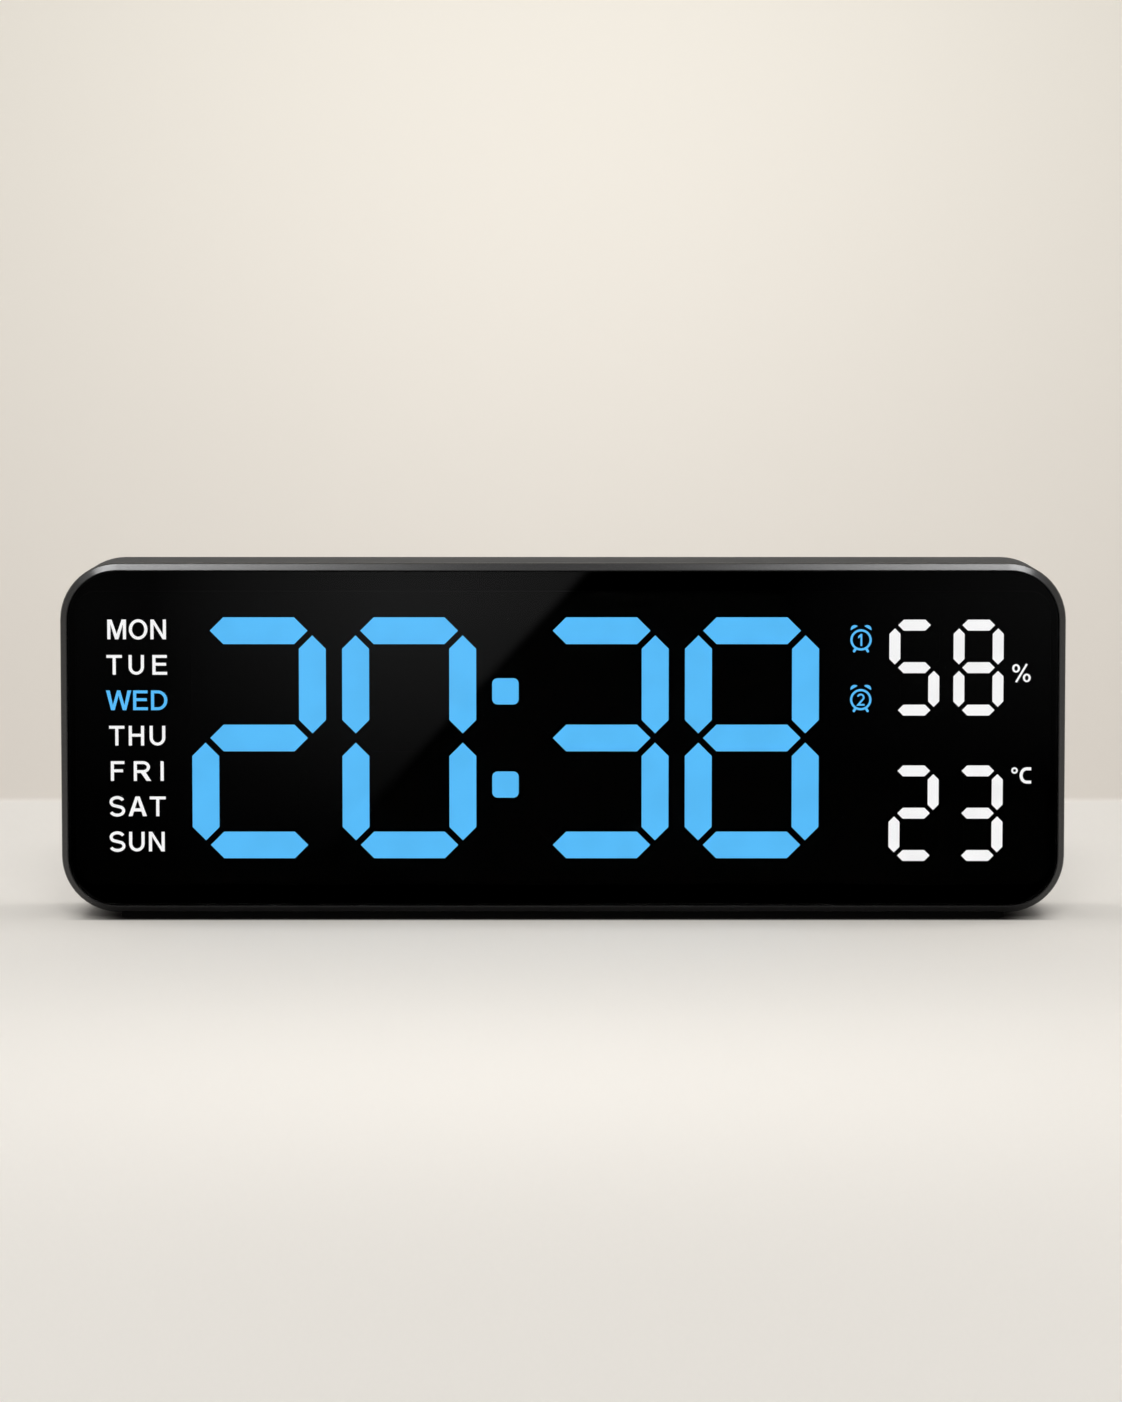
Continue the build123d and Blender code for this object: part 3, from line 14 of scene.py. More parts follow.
import bpy
from bpy.types import Material, Node, NodeSocket, NodeTree, Object
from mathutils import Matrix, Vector


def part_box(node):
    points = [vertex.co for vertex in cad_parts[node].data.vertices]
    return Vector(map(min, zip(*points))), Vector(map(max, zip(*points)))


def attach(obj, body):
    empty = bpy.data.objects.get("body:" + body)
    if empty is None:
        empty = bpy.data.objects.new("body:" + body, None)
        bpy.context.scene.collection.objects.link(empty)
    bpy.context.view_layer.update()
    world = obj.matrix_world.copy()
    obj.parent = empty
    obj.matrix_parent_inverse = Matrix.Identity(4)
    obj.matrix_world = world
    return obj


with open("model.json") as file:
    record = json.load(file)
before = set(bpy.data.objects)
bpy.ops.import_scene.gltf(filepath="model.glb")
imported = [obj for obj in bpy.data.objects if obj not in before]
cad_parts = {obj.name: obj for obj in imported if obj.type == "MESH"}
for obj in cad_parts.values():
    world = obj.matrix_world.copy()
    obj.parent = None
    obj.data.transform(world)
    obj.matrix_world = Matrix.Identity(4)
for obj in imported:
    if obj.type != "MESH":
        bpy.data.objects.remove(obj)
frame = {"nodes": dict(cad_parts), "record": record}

LOG = logging.getLogger("clock")
MM = 0.001
FULL_TURN = 360
NOISE_MIDDLE = 0.5
BUMP_STRENGTH = 0.6
LEAST_MITRE = 0.4
WELD_DISTANCE = 1e-6
EDGE_TOLERANCE = 1e-5
LIT_SIGN_THICKNESS = 0.1
COVE_RADIUS = 0.002

Point = tuple[float, float]
Colour = tuple[float, float, float]
Place = tuple[float, float, float]
Outline = list[Point]
Shape = list[Outline]
Inputs = dict[str | int, object]
Sockets = dict[str, NodeSocket]


class Facing(Enum):
    """The side that a flat sign is read from, as its outward way along Y and its turn."""

    FRONT = (-1.0, 0.0)
    BACK = (1.0, math.pi)


class Glow(Enum):
    """Colours of the lit windows, as the light leaves the lens."""

    BLUE = (0.102, 0.521, 0.982)
    WHITE = (0.955, 0.955, 0.955)


class Rays(Enum):
    """Kinds of ray that Blender's visibility switches tell apart."""

    CAMERA = "camera"
    DIFFUSE = "diffuse"
    GLOSSY = "glossy"
    TRANSMISSION = "transmission"
    SHADOW = "shadow"
    VOLUME = "volume_scatter"


class Graph:
    """A shader node tree with short calls for adding and joining its nodes."""

    def __init__(self, tree: NodeTree) -> None:
        """Keeps the tree that nodes go into."""
        self.tree = tree

    @staticmethod
    def outputs(node: Node) -> Sockets:
        """The outputs of a node, by name."""
        return {socket.name: socket for socket in node.outputs}

    def feed(self, node: Node, inputs: Inputs) -> None:
        """Fills inputs of a node.

        Args:
            node: The node.
            inputs: An output to join, or a number, vector or colour to set, by input.
        """
        for name, value in inputs.items():
            socket = node.inputs[name]
            if isinstance(value, NodeSocket):
                self.tree.links.new(value, socket)
            elif socket.type == "RGBA":
                socket.default_value = (*value, 1.0)
            else:
                socket.default_value = value

    def add(self, kind: str, inputs: Inputs | None = None, **values: object) -> Node:
        """Adds a node.

        Args:
            kind: Blender's name of the node type.
            inputs: What fills its inputs, as in feed.
            values: Properties of the node, by name.

        Returns:
            The new node.
        """
        node = self.tree.nodes.new(kind)
        for name, value in values.items():
            setattr(node, name, value)
        self.feed(node, inputs or {})
        return node

    def group(self, tree: NodeTree, inputs: Inputs) -> Sockets:
        """Adds a node group with its inputs filled, and gives its outputs by name."""
        return self.outputs(self.add("ShaderNodeGroup", inputs, node_tree=tree))

    def place(self) -> NodeSocket:
        """Adds the place on the object, in metres."""
        return self.add("ShaderNodeTexCoord").outputs["Object"]

    def mapped(self, inputs: Inputs) -> NodeSocket:
        """Adds the place on the object, turned or scaled by the inputs of a mapping node."""
        return self.add("ShaderNodeMapping", {"Vector": self.place(), **inputs}).outputs["Vector"]

    def axes(self) -> Sockets:
        """Adds the place on the object along each axis, in metres."""
        return self.outputs(self.add("ShaderNodeSeparateXYZ", {"Vector": self.place()}))

    def math(self, operation: str, first: object, second: object = 0.0) -> NodeSocket:
        """Adds a math node on one or two numbers or outputs, and gives its result."""
        return self.add("ShaderNodeMath", {0: first, 1: second}, operation=operation).outputs[0]

    def product(self, first: NodeSocket, *others: object) -> NodeSocket:
        """Multiplies an output by each of the others, which are numbers or outputs."""
        for other in others:
            first = self.math("MULTIPLY", first, other)
        return first

    def noise(self, vector: NodeSocket, scale: object, detail: float = 2.0) -> NodeSocket:
        """Adds a noise texture, read at a vector, and gives its value around NOISE_MIDDLE."""
        inputs = {"Vector": vector, "Scale": scale, "Detail": detail}
        return self.add("ShaderNodeTexNoise", inputs).outputs[0]

    def ramp(
        self, value: NodeSocket, source: Point, target: Point = (0.0, 1.0), smooth: bool = False
    ) -> NodeSocket:
        """Maps a value from one range to another, held at both ends.

        Args:
            value: The output to map.
            source: The range that it comes from.
            target: The range that it goes to.
            smooth: Whether it eases in and out.

        Returns:
            The mapped result.
        """
        kind = "SMOOTHSTEP" if smooth else "LINEAR"
        ends = zip(("From Min", "From Max", "To Min", "To Max"), (*source, *target))
        inputs = {"Value": value, **dict(ends)}
        return self.add("ShaderNodeMapRange", inputs, interpolation_type=kind).outputs["Result"]

    def blend(self, factor: NodeSocket, first: object, second: object) -> NodeSocket:
        """Mixes two colours or outputs: a factor of 0 gives the first, 1 the second."""
        # The node has inputs of one name for numbers and for colours, so these go by their place.
        node = self.add("ShaderNodeMix", {0: factor, 6: first, 7: second}, data_type="RGBA")
        return node.outputs[2]


@dataclass
class SurfaceEffects:
    """Shader node groups that several finishes share, each built once. Scales are per metre."""

    broad_scale: float = 22.0
    speck_ends: Point = (0.42, 0.72)
    wipe_turn: float = 0.5
    wipe_stretch: Place = (9.0, 20.0, 60.0)
    wipe_ends: Point = (0.5, 0.75)
    dust_scale: float = 900.0
    dust_ends: Point = (0.72, 0.8)
    line_stretch: Place = (1.0, 12.0, 12.0)
    line_sway: float = 0.25
    pool_scale: float = 90.0
    pool_ends: Point = (0.35, 0.7)

    def __post_init__(self) -> None:
        """Builds the groups."""
        self.grain = self._moulded_grain()
        self.marks = self._handling_marks()
        self.brushing = self._brushed_lines()
        self.glow = self._window_glow()

    @staticmethod
    def _start(
        name: str, inputs: tuple[str, ...], outputs: tuple[str, ...]
    ) -> tuple[Graph, Sockets, Node]:
        """Starts a group with its sockets, which hold colours if they are named so, else numbers.

        Args:
            name: The group's name.
            inputs: The names of its inputs.
            outputs: The names of its outputs.

        Returns:
            The group's graph, what it is given by name, and the node that takes what it makes.
        """
        tree = bpy.data.node_groups.new(name, "ShaderNodeTree")
        for way, labels in (("INPUT", inputs), ("OUTPUT", outputs)):
            for label in labels:
                kind = "NodeSocketColor" if label.endswith("Colour") else "NodeSocketFloat"
                tree.interface.new_socket(label, in_out=way, socket_type=kind)
        graph = Graph(tree)
        return graph, graph.outputs(graph.add("NodeGroupInput")), graph.add("NodeGroupOutput")

    def _moulded_grain(self) -> NodeTree:
        """Fine spark-eroded grain of a moulded surface: colour, roughness and height."""
        graph, given, made = self._start(
            "moulded_grain",
            ("Colour", "Light Colour", "Roughness", "Spread", "Scale"),
            ("Colour", "Roughness", "Height"),
        )
        place = graph.place()
        fine = graph.noise(place, given["Scale"], detail=3.0)
        broad = graph.noise(place, self.broad_scale, detail=4.0)
        cells = graph.add("ShaderNodeTexVoronoi", {"Vector": place, "Scale": given["Scale"]})
        speck = graph.ramp(fine, self.speck_ends, smooth=True)
        drift = graph.math("SUBTRACT", broad, NOISE_MIDDLE)
        sway = graph.math("ADD", drift, graph.math("SUBTRACT", fine, NOISE_MIDDLE))
        colour = graph.blend(speck, given["Colour"], given["Light Colour"])
        roughness = graph.math("ADD", given["Roughness"], graph.product(sway, given["Spread"]))
        height = graph.math("ADD", fine, cells.outputs["Distance"])
        graph.feed(made, {"Colour": colour, "Roughness": roughness, "Height": height})
        return graph.tree

    def _handling_marks(self) -> NodeTree:
        """Faint wipe marks and settled dust, as masks."""
        graph, given, made = self._start("handling_marks", ("Amount",), ("Wipe", "Dust"))
        turn = (0.0, self.wipe_turn, 0.0)
        stretched = graph.mapped({"Rotation": turn, "Scale": self.wipe_stretch})
        wipe = graph.noise(stretched, 1.0, detail=5.0)
        dust = graph.noise(graph.place(), self.dust_scale, detail=2.0)
        for label, noise, ends in (("Wipe", wipe, self.wipe_ends), ("Dust", dust, self.dust_ends)):
            mask = graph.ramp(noise, ends, smooth=True)
            graph.feed(made, {label: graph.product(mask, given["Amount"])})
        return graph.tree

    def _brushed_lines(self) -> NodeTree:
        """Fine drawn lines of rolled or turned metal: roughness and height."""
        graph, given, made = self._start(
            "brushed_lines", ("Roughness", "Scale"), ("Roughness", "Height")
        )
        stretched = graph.mapped({"Scale": self.line_stretch})
        lines = graph.noise(stretched, given["Scale"], detail=3.0)
        sway = graph.product(graph.math("SUBTRACT", lines, NOISE_MIDDLE), self.line_sway)
        roughness = graph.math("ADD", given["Roughness"], sway)
        graph.feed(made, {"Roughness": roughness, "Height": lines})
        return graph.tree

    def _window_glow(self) -> NodeTree:
        """Slight unevenness of a window that is lit from behind."""
        graph, given, made = self._start("window_glow", ("Colour", "Dim Colour"), ("Colour",))
        pools = graph.noise(graph.place(), self.pool_scale, detail=1.0)
        dip = graph.ramp(pools, self.pool_ends, smooth=True)
        graph.feed(made, {"Colour": graph.blend(dip, given["Colour"], given["Dim Colour"])})
        return graph.tree


EFFECTS = SurfaceEffects()


def start_material(name: str) -> tuple[Material, Graph, Node]:
    """Starts a node material.

    Args:
        name: The material's name.

    Returns:
        The material, its graph and its Principled shader.
    """
    material = bpy.data.materials.new(name)
    material.use_nodes = True
    graph = Graph(material.node_tree)
    return material, graph, graph.tree.nodes["Principled BSDF"]


def add_bump(graph: Graph, height: NodeSocket, shader: Node, relief: float) -> None:
    """Joins a height to the shader's normal.

    Args:
        graph: The material's graph.
        height: The height's output.
        shader: The shader that takes the normal.
        relief: The height of the relief in millimetres.
    """
    inputs = {"Strength": BUMP_STRENGTH, "Distance": relief * MM, "Height": height}
    bump = graph.add("ShaderNodeBump", inputs)
    graph.feed(shader, {"Normal": bump.outputs["Normal"]})


@dataclass(frozen=True)
class MouldedPlastic:
    """An opaque moulded plastic or rubber with a fine grain and faint marks of handling.

    Where it has a polish, the surface before polish_end, in millimetres from front to back, has
    that roughness and no grain.
    """

    name: str
    colour: Colour
    roughness: float
    grain: float
    relief: float
    lift: float = 1.5
    wear: float = 0.1
    specular: float = 0.5
    spread: float = 0.12
    dust_share: float = 0.5
    dust_lift: float = 0.12
    polish: float | None = None
    polish_end: float = 0.0
    polish_blend: float = 0.1

    def material(self) -> Material:
        """Builds the material of this finish."""
        material, graph, shader = start_material(self.name)
        grain = graph.group(
            EFFECTS.grain,
            {
                "Colour": self.colour,
                "Light Colour": tuple(min(1.0, part * self.lift) for part in self.colour),
                "Roughness": self.roughness,
                "Spread": self.spread,
                "Scale": 1.0 / (self.grain * MM),
            },
        )
        marks = graph.group(EFFECTS.marks, {"Amount": self.wear})
        pale = tuple(self.dust_share * part + self.dust_lift for part in self.colour)
        worn = graph.math("SUBTRACT", grain["Roughness"], marks["Wipe"])
        height = grain["Height"]
        if self.polish is not None:
            end, blend = self.polish_end * MM, self.polish_blend * MM
            grained = graph.ramp(graph.axes()["Y"], (end - blend, end + blend))
            extra = graph.product(graph.math("SUBTRACT", worn, self.polish), grained)
            worn = graph.math("ADD", extra, self.polish)
            height = graph.product(height, grained)
        dusty = graph.blend(marks["Dust"], grain["Colour"], pale)
        graph.feed(shader, {"Base Color": dusty, "Roughness": worn})
        graph.feed(shader, {"Specular IOR Level": self.specular})
        add_bump(graph, height, shader, self.relief)
        return material


@dataclass(frozen=True)
class ClearPanel:
    """The clear acrylic of the lens, with faint wipe marks in its polish."""

    name: str
    tint: Colour
    roughness: float
    index: float

    def material(self) -> Material:
        """Builds the material of this finish."""
        material, graph, shader = start_material(self.name)
        marks = graph.group(EFFECTS.marks, {"Amount": self.roughness})
        graph.feed(shader, {"Base Color": self.tint, "Roughness": marks["Wipe"]})
        graph.feed(shader, {"Transmission Weight": 1.0, "IOR": self.index})
        return material


@dataclass(frozen=True)
class LitWindow:
    """Milky plastic that is lit from behind."""

    name: str
    glow: Glow
    strength: float
    dip: float = 0.95
    body: float = 0.05
    roughness: float = 0.5

    def material(self) -> Material:
        """Builds the material of this finish."""
        material, graph, shader = start_material(self.name)
        full = self.glow.value
        dim, body = (tuple(share * part for part in full) for share in (self.dip, self.body))
        glow = graph.group(EFFECTS.glow, {"Colour": full, "Dim Colour": dim})
        graph.feed(shader, {"Base Color": body, "Roughness": self.roughness})
        lit = {"Emission Color": glow["Colour"], "Emission Strength": self.strength}
        graph.feed(shader, lit)
        return material


@dataclass(frozen=True)
class DrawnMetal:
    """Plated or bare metal with fine drawn lines, which are many times as wide as they are deep."""

    name: str
    colour: Colour
    roughness: float
    lines: float
    flatness: float = 40.0

    def material(self) -> Material:
        """Builds the material of this finish."""
        material, graph, shader = start_material(self.name)
        inputs = {"Roughness": self.roughness, "Scale": 1.0 / (self.lines * MM)}
        brushing = graph.group(EFFECTS.brushing, inputs)
        graph.feed(shader, {"Base Color": self.colour, "Roughness": brushing["Roughness"]})
        graph.feed(shader, {"Metallic": 1.0})
        add_bump(graph, brushing["Height"], shader, self.lines / self.flatness)
        return material


@dataclass(frozen=True)
class SolderMask:
    """Lacquered circuit board with tracks that show through the lacquer."""

    name: str
    colour: Colour
    track: Colour
    track_scale: float = 120.0
    track_width: float = 0.04
    roughness: float = 0.35
    relief: float = 0.03

    def material(self) -> Material:
        """Builds the material of this finish."""
        material, graph, shader = start_material(self.name)
        upright = graph.mapped({"Rotation": (math.pi / 2, 0.0, 0.0)})
        inputs = {"Vector": upright, "Scale": self.track_scale, "Mortar Size": self.track_width}
        tracks = graph.add("ShaderNodeTexBrick", inputs).outputs["Fac"]
        colour = graph.blend(tracks, self.colour, self.track)
        graph.feed(shader, {"Base Color": colour, "Roughness": self.roughness})
        add_bump(graph, tracks, shader, self.relief)
        return material


Finish = MouldedPlastic | ClearPanel | LitWindow | DrawnMetal | SolderMask


@dataclass
class FinishSet:
    """Every finish of the clock. All but the last are named after the record's slots."""

    finishes: tuple[Finish, ...] = (
        MouldedPlastic(
            "case_plastic", (0.02, 0.02, 0.0205), 0.85, 0.45, 0.015,
            specular=0.3, polish=0.2, polish_end=-11.4,
        ),
        ClearPanel("lens", (0.98, 0.98, 0.98), 0.02, 1.49),
        MouldedPlastic("tape", (0.002, 0.002, 0.002), 0.7, 0.3, 0.002, specular=0.05),
        MouldedPlastic("film", (0.002, 0.002, 0.002), 0.6, 0.2, 0.002, specular=0.05),
        MouldedPlastic("light_box", (0.75, 0.75, 0.73), 0.5, 0.4, 0.01, lift=1.05),
        LitWindow("segment_blue", Glow.BLUE, 1.06),
        LitWindow("segment_white", Glow.WHITE, 1.06),
        MouldedPlastic("segment_dark", (0.0022, 0.0022, 0.0024), 0.6, 0.2, 0.002, specular=0.05),
        MouldedPlastic("legend_bar", (0.6, 0.6, 0.6), 0.5, 0.4, 0.01, lift=1.05),
        SolderMask("board", (0.012, 0.09, 0.04), (0.03, 0.16, 0.07)),
        MouldedPlastic("led", (0.8, 0.72, 0.42), 0.25, 0.5, 0.005, lift=1.1),
        MouldedPlastic("component_black", (0.02, 0.02, 0.021), 0.5, 0.25, 0.01),
        DrawnMetal("aluminium", (0.78, 0.78, 0.8), 0.28, 0.3),
        DrawnMetal("steel", (0.6, 0.6, 0.61), 0.3, 0.25),
        MouldedPlastic("key_plastic", (0.035, 0.035, 0.037), 0.45, 0.25, 0.01),
        MouldedPlastic("plunger", (0.72, 0.68, 0.6), 0.5, 0.3, 0.01, lift=1.05),
        # Black rubber, made darker than plain rubber so that the slot under the front edge reads as
        # shade: partly painted shade.
        MouldedPlastic("rubber", (0.004, 0.004, 0.004), 0.8, 0.3, 0.03, specular=0.1),
        MouldedPlastic("print_grey", (0.42, 0.42, 0.42), 0.6, 0.2, 0.004, lift=1.1),
    )
    made: dict[str, Material] = field(default_factory=dict)

    def build(self) -> None:
        """Builds the material of every finish."""
        for finish in self.finishes:
            self.made[finish.name] = finish.material()

    def dress_nodes(self) -> None:
        """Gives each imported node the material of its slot."""
        for entry in frame["record"]["subparts"]:
            node = frame["nodes"][entry["node"]]
            node.data.materials.clear()
            node.data.materials.append(self.made[entry["material_slot"]])
            LOG.info("dressed %s as %s", entry["node"], entry["material_slot"])


FINISHES = FinishSet()


def polar(turn: float, reach: float) -> Point:
    """The point at an angle in degrees and a distance from the origin."""
    return (reach * math.cos(math.radians(turn)), reach * math.sin(math.radians(turn)))


def arc(centre: Point, radii: Point, start: float, end: float, steps: int = 24) -> Outline:
    """Points along part of an ellipse.

    Args:
        centre: The ellipse's middle.
        radii: Its half width and half height.
        start: The first angle in degrees.
        end: The last angle in degrees.
        steps: The number of divisions.

    Returns:
        The points from start to end.
    """
    angles = [math.radians(start + (end - start) * step / steps) for step in range(steps + 1)]
    return [
        (centre[0] + radii[0] * math.cos(angle), centre[1] + radii[1] * math.sin(angle))
        for angle in angles
    ]


def oval(centre: Point, radii: Point, steps: int = 48) -> Outline:
    """Points around a whole ellipse, as in arc."""
    return arc(centre, radii, 0, FULL_TURN, steps)[:-1]


def ring(centre: Point, outer: Point, inner: Point) -> Shape:
    """The outer and the inner outline of an oval ring, from its half widths and half heights."""
    return [oval(centre, radii) for radii in (outer, inner)]


def stepped(start: Point, *turns: float) -> Outline:
    """An outline whose sides all run across or up.

    Args:
        start: The first corner.
        turns: Where each side ends, by turns across and up.

    Returns:
        The corners.
    """
    corners = [start]
    for place, turn in enumerate(turns):
        x, y = corners[-1]
        corners.append((x, turn) if place % 2 else (turn, y))
    return corners


def stroke(path: Outline, width: float) -> Outline:
    """The outline of a line of even width.

    Args:
        path: Points along its middle.
        width: The line's width.

    Returns:
        Points up its left side and back down its right side.
    """
    points = [Vector((*point, 0.0)) for point in path]
    left: Outline = []
    right: Outline = []
    for place, point in enumerate(points):
        before = point - points[place - 1] if place > 0 else points[1] - point
        after = points[place + 1] - point if place < len(points) - 1 else before
        first = Vector((-before.y, before.x, 0.0)).normalized()
        second = Vector((-after.y, after.x, 0.0)).normalized()
        side = (first + second).normalized()
        reach = width / 2 / max(side.dot(first), LEAST_MITRE)
        left.append((point.x + side.x * reach, point.y + side.y * reach))
        right.append((point.x - side.x * reach, point.y - side.y * reach))
    return left + right[::-1]


def scaled(size: Point, *points: Point) -> Outline:
    """Points that are given as shares of a width and a height."""
    return [(x * size[0], y * size[1]) for x, y in points]


def shifted(outlines: Shape, place: Point) -> Shape:
    """Outlines moved across and up."""
    return [[(x + place[0], y + place[1]) for x, y in outline] for outline in outlines]


@dataclass(frozen=True)
class Lettering:
    """Plain sans capitals and figures of one height, drawn as outlines."""

    height: float
    stem: float
    arm: float

    def draw(self, letter: str, width: float) -> Shape:
        """The outlines of one letter with its lower left corner at the origin.

        Args:
            letter: A capital letter or a figure.
            width: The letter's width.

        Returns:
            Its closed outlines. An outline inside another is a hole.
        """
        shapes: dict[str, Callable[[float], Shape]] = {
            "A": self._a, "D": self._d, "E": self._e, "F": self._f, "H": self._h, "I": self._i,
            "M": self._m, "N": self._n, "O": self._o, "R": self._r, "S": self._s, "T": self._t,
            "U": self._u, "W": self._w, "1": self._one, "2": self._two,
        }
        return shapes[letter](width)

    def _a(self, w: float) -> Shape:
        """Two legs, a flat top and a crossbar."""
        size = (w, self.height)
        legs = scaled(size, (0, 0), (0.385, 1), (0.615, 1), (1, 0))
        fork = scaled(size, (0.785, 0), (0.705, 0.24), (0.295, 0.24), (0.215, 0))
        return [legs + fork, scaled(size, (0.352, 0.4), (0.648, 0.4), (0.5, 0.83))]

    def _d(self, w: float) -> Shape:
        """A stem with a full bowl."""
        h, t, b = self.height, self.stem, self.arm
        spine = 0.42 * w
        outer = [(0, 0), *arc((spine, h / 2), (w - spine, h / 2), -90, 90), (0, h)]
        inner_radii = (w - spine - t, h / 2 - b)
        hole = [(t, b), *arc((spine, h / 2), inner_radii, -90, 90), (t, h - b)]
        return [outer, hole]

    def _e(self, w: float) -> Shape:
        """A stem with three arms."""
        h, t, b = self.height, self.stem, self.arm
        low, high = 0.46 * h, 0.46 * h + b
        return [stepped((0, 0), w, b, t, low, 0.93 * w, high, t, h - b, 0.98 * w, h, 0)]

    def _f(self, w: float) -> Shape:
        """A stem with two arms."""
        h, t, b = self.height, self.stem, self.arm
        low, high = 0.44 * h, 0.44 * h + b
        return [stepped((0, 0), t, low, 0.9 * w, high, t, h - b, w, h, 0)]

    def _h(self, w: float) -> Shape:
        """Two stems and a crossbar."""
        h, t, b = self.height, self.stem, self.arm
        low, high = 0.45 * h, 0.45 * h + b
        return [stepped((0, 0), t, low, w - t, 0, w, h, w - t, high, t, h, 0)]

    def _i(self, w: float) -> Shape:
        """One stem."""
        return [stepped((0, 0), w, self.height, 0)]

    def _m(self, w: float) -> Shape:
        """Two stems and a vee that reaches the line."""
        h, t = self.height, self.stem
        left = [(0, 0), (0, h), (1.4 * t, h), (w / 2, 0.27 * h)]
        right = [(w - 1.4 * t, h), (w, h), (w, 0), (w - t, 0), (w - t, 0.76 * h)]
        foot = [(w / 2 + 0.52 * t, 0), (w / 2 - 0.52 * t, 0), (t, 0.76 * h), (t, 0)]
        return [left + right + foot]

    def _n(self, w: float) -> Shape:
        """Two stems and a diagonal."""
        h, t = self.height, self.stem
        half = [(0, 0), (0, h), (1.08 * t, h), (w - t, h * t / (w - t)), (w - t, h)]
        return [half + [(w - x, h - y) for x, y in half]]

    def _o(self, w: float) -> Shape:
        """An oval ring."""
        h, t, b = self.height, self.stem, self.arm
        over = 0.015 * h
        return ring((w / 2, h / 2), (w / 2, h / 2 + over), (w / 2 - t, h / 2 + over - b))

    def _r(self, w: float) -> Shape:
        """A stem, a bowl and a straight leg."""
        h, t, b = self.height, self.stem, self.arm
        low = 0.4 * h
        middle = (0.52 * w, (h + low) / 2)
        radii = (0.42 * w, (h - low) / 2)
        legs = [(0, 0), (t, 0), (t, low), (0.42 * w, low), (0.74 * w, 0), (w, 0)]
        bowl = [(0.68 * w, low + 0.05 * h), *arc(middle, radii, -62, 90), (0, h)]
        inner_radii = (radii[0] - t, radii[1] - b)
        hole = [(t, low + b), *arc(middle, inner_radii, -90, 90), (t, h - b)]
        return [legs + bowl, hole]

    def _s(self, w: float) -> Shape:
        """Two open bows that meet in a slanting spine."""
        h, t, b = self.height, self.stem, self.arm
        across = (w - t) / 2
        down = (h - b) / 4 + 0.01 * h
        upper = arc((w / 2, h / 2 + down), (0.95 * across, down), 22, 232, 30)
        lower = arc((w / 2, h / 2 - down), (across, down), 52, -160, 30)
        return [stroke(upper + lower, 0.5 * (t + b))]

    def _t(self, w: float) -> Shape:
        """One stem under a wide arm."""
        h, t, b = self.height, self.stem, self.arm
        left, right = (w - t) / 2, (w + t) / 2
        return [stepped((left, 0), right, h - b, w, h, 0, h - b, left)]

    def _u(self, w: float) -> Shape:
        """Two stems and a round foot."""
        h, t, b = self.height, self.stem, self.arm
        deep = 0.4 * h
        outer = arc((w / 2, deep), (w / 2, deep), 180, 360)
        inner = arc((w / 2, deep), (w / 2 - t, deep - b), 360, 180)
        return [[(0, h), *outer, (w, h), (w - t, h), *inner, (t, h)]]

    def _w(self, w: float) -> Shape:
        """Two vees whose middle reaches full height."""
        size = (w, self.height)
        left = scaled(size, (0, 1), (0.15, 1), (0.27, 0.25), (0.435, 1))
        right = scaled(size, (0.565, 1), (0.73, 0.25), (0.85, 1), (1, 1))
        feet = scaled(size, (0.8, 0), (0.66, 0), (0.5, 0.74), (0.34, 0), (0.2, 0))
        return [left + right + feet]

    def _one(self, w: float) -> Shape:
        """A stem with a flag."""
        h, t = self.height, self.stem
        stem = [(w - t, 0), (w, 0), (w, h), (w - 0.8 * t, h)]
        return [stem + [(0, 0.8 * h), (0, 0.62 * h), (w - t, 0.74 * h)]]

    def _two(self, w: float) -> Shape:
        """A bow, a diagonal and a foot."""
        h, t, b = self.height, self.stem, self.arm
        radius = (w - t) / 2
        bow = arc((w / 2, h - radius - b / 2), (radius, radius), 165, -30, 20)
        return [stroke([*bow, (0.72 * t, b / 2), (w, b / 2)], t)]


def select_only(thing: Object) -> None:
    """Makes one object the only selected and the active one."""
    bpy.ops.object.select_all(action="DESELECT")
    thing.select_set(True)
    bpy.context.view_layer.objects.active = thing


def settle(thing: Object) -> None:
    """Applies an object's place, turn and scale to its mesh."""
    select_only(thing)
    bpy.ops.object.transform_apply(location=True, rotation=True, scale=True)


def hand_in(thing: Object, body: str, slot: str, material: str | None = None) -> None:
    """Dresses a finished piece and fixes it to its body.

    Args:
        thing: The finished piece.
        body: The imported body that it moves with.
        slot: The record's slot that it belongs to.
        material: The finish that it wears, where that isn't the slot's own.
    """
    thing.data.materials.clear()
    thing.data.materials.append(FINISHES.made[material or slot])
    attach(thing, body)
    LOG.info("built %s on %s", thing.name, body)


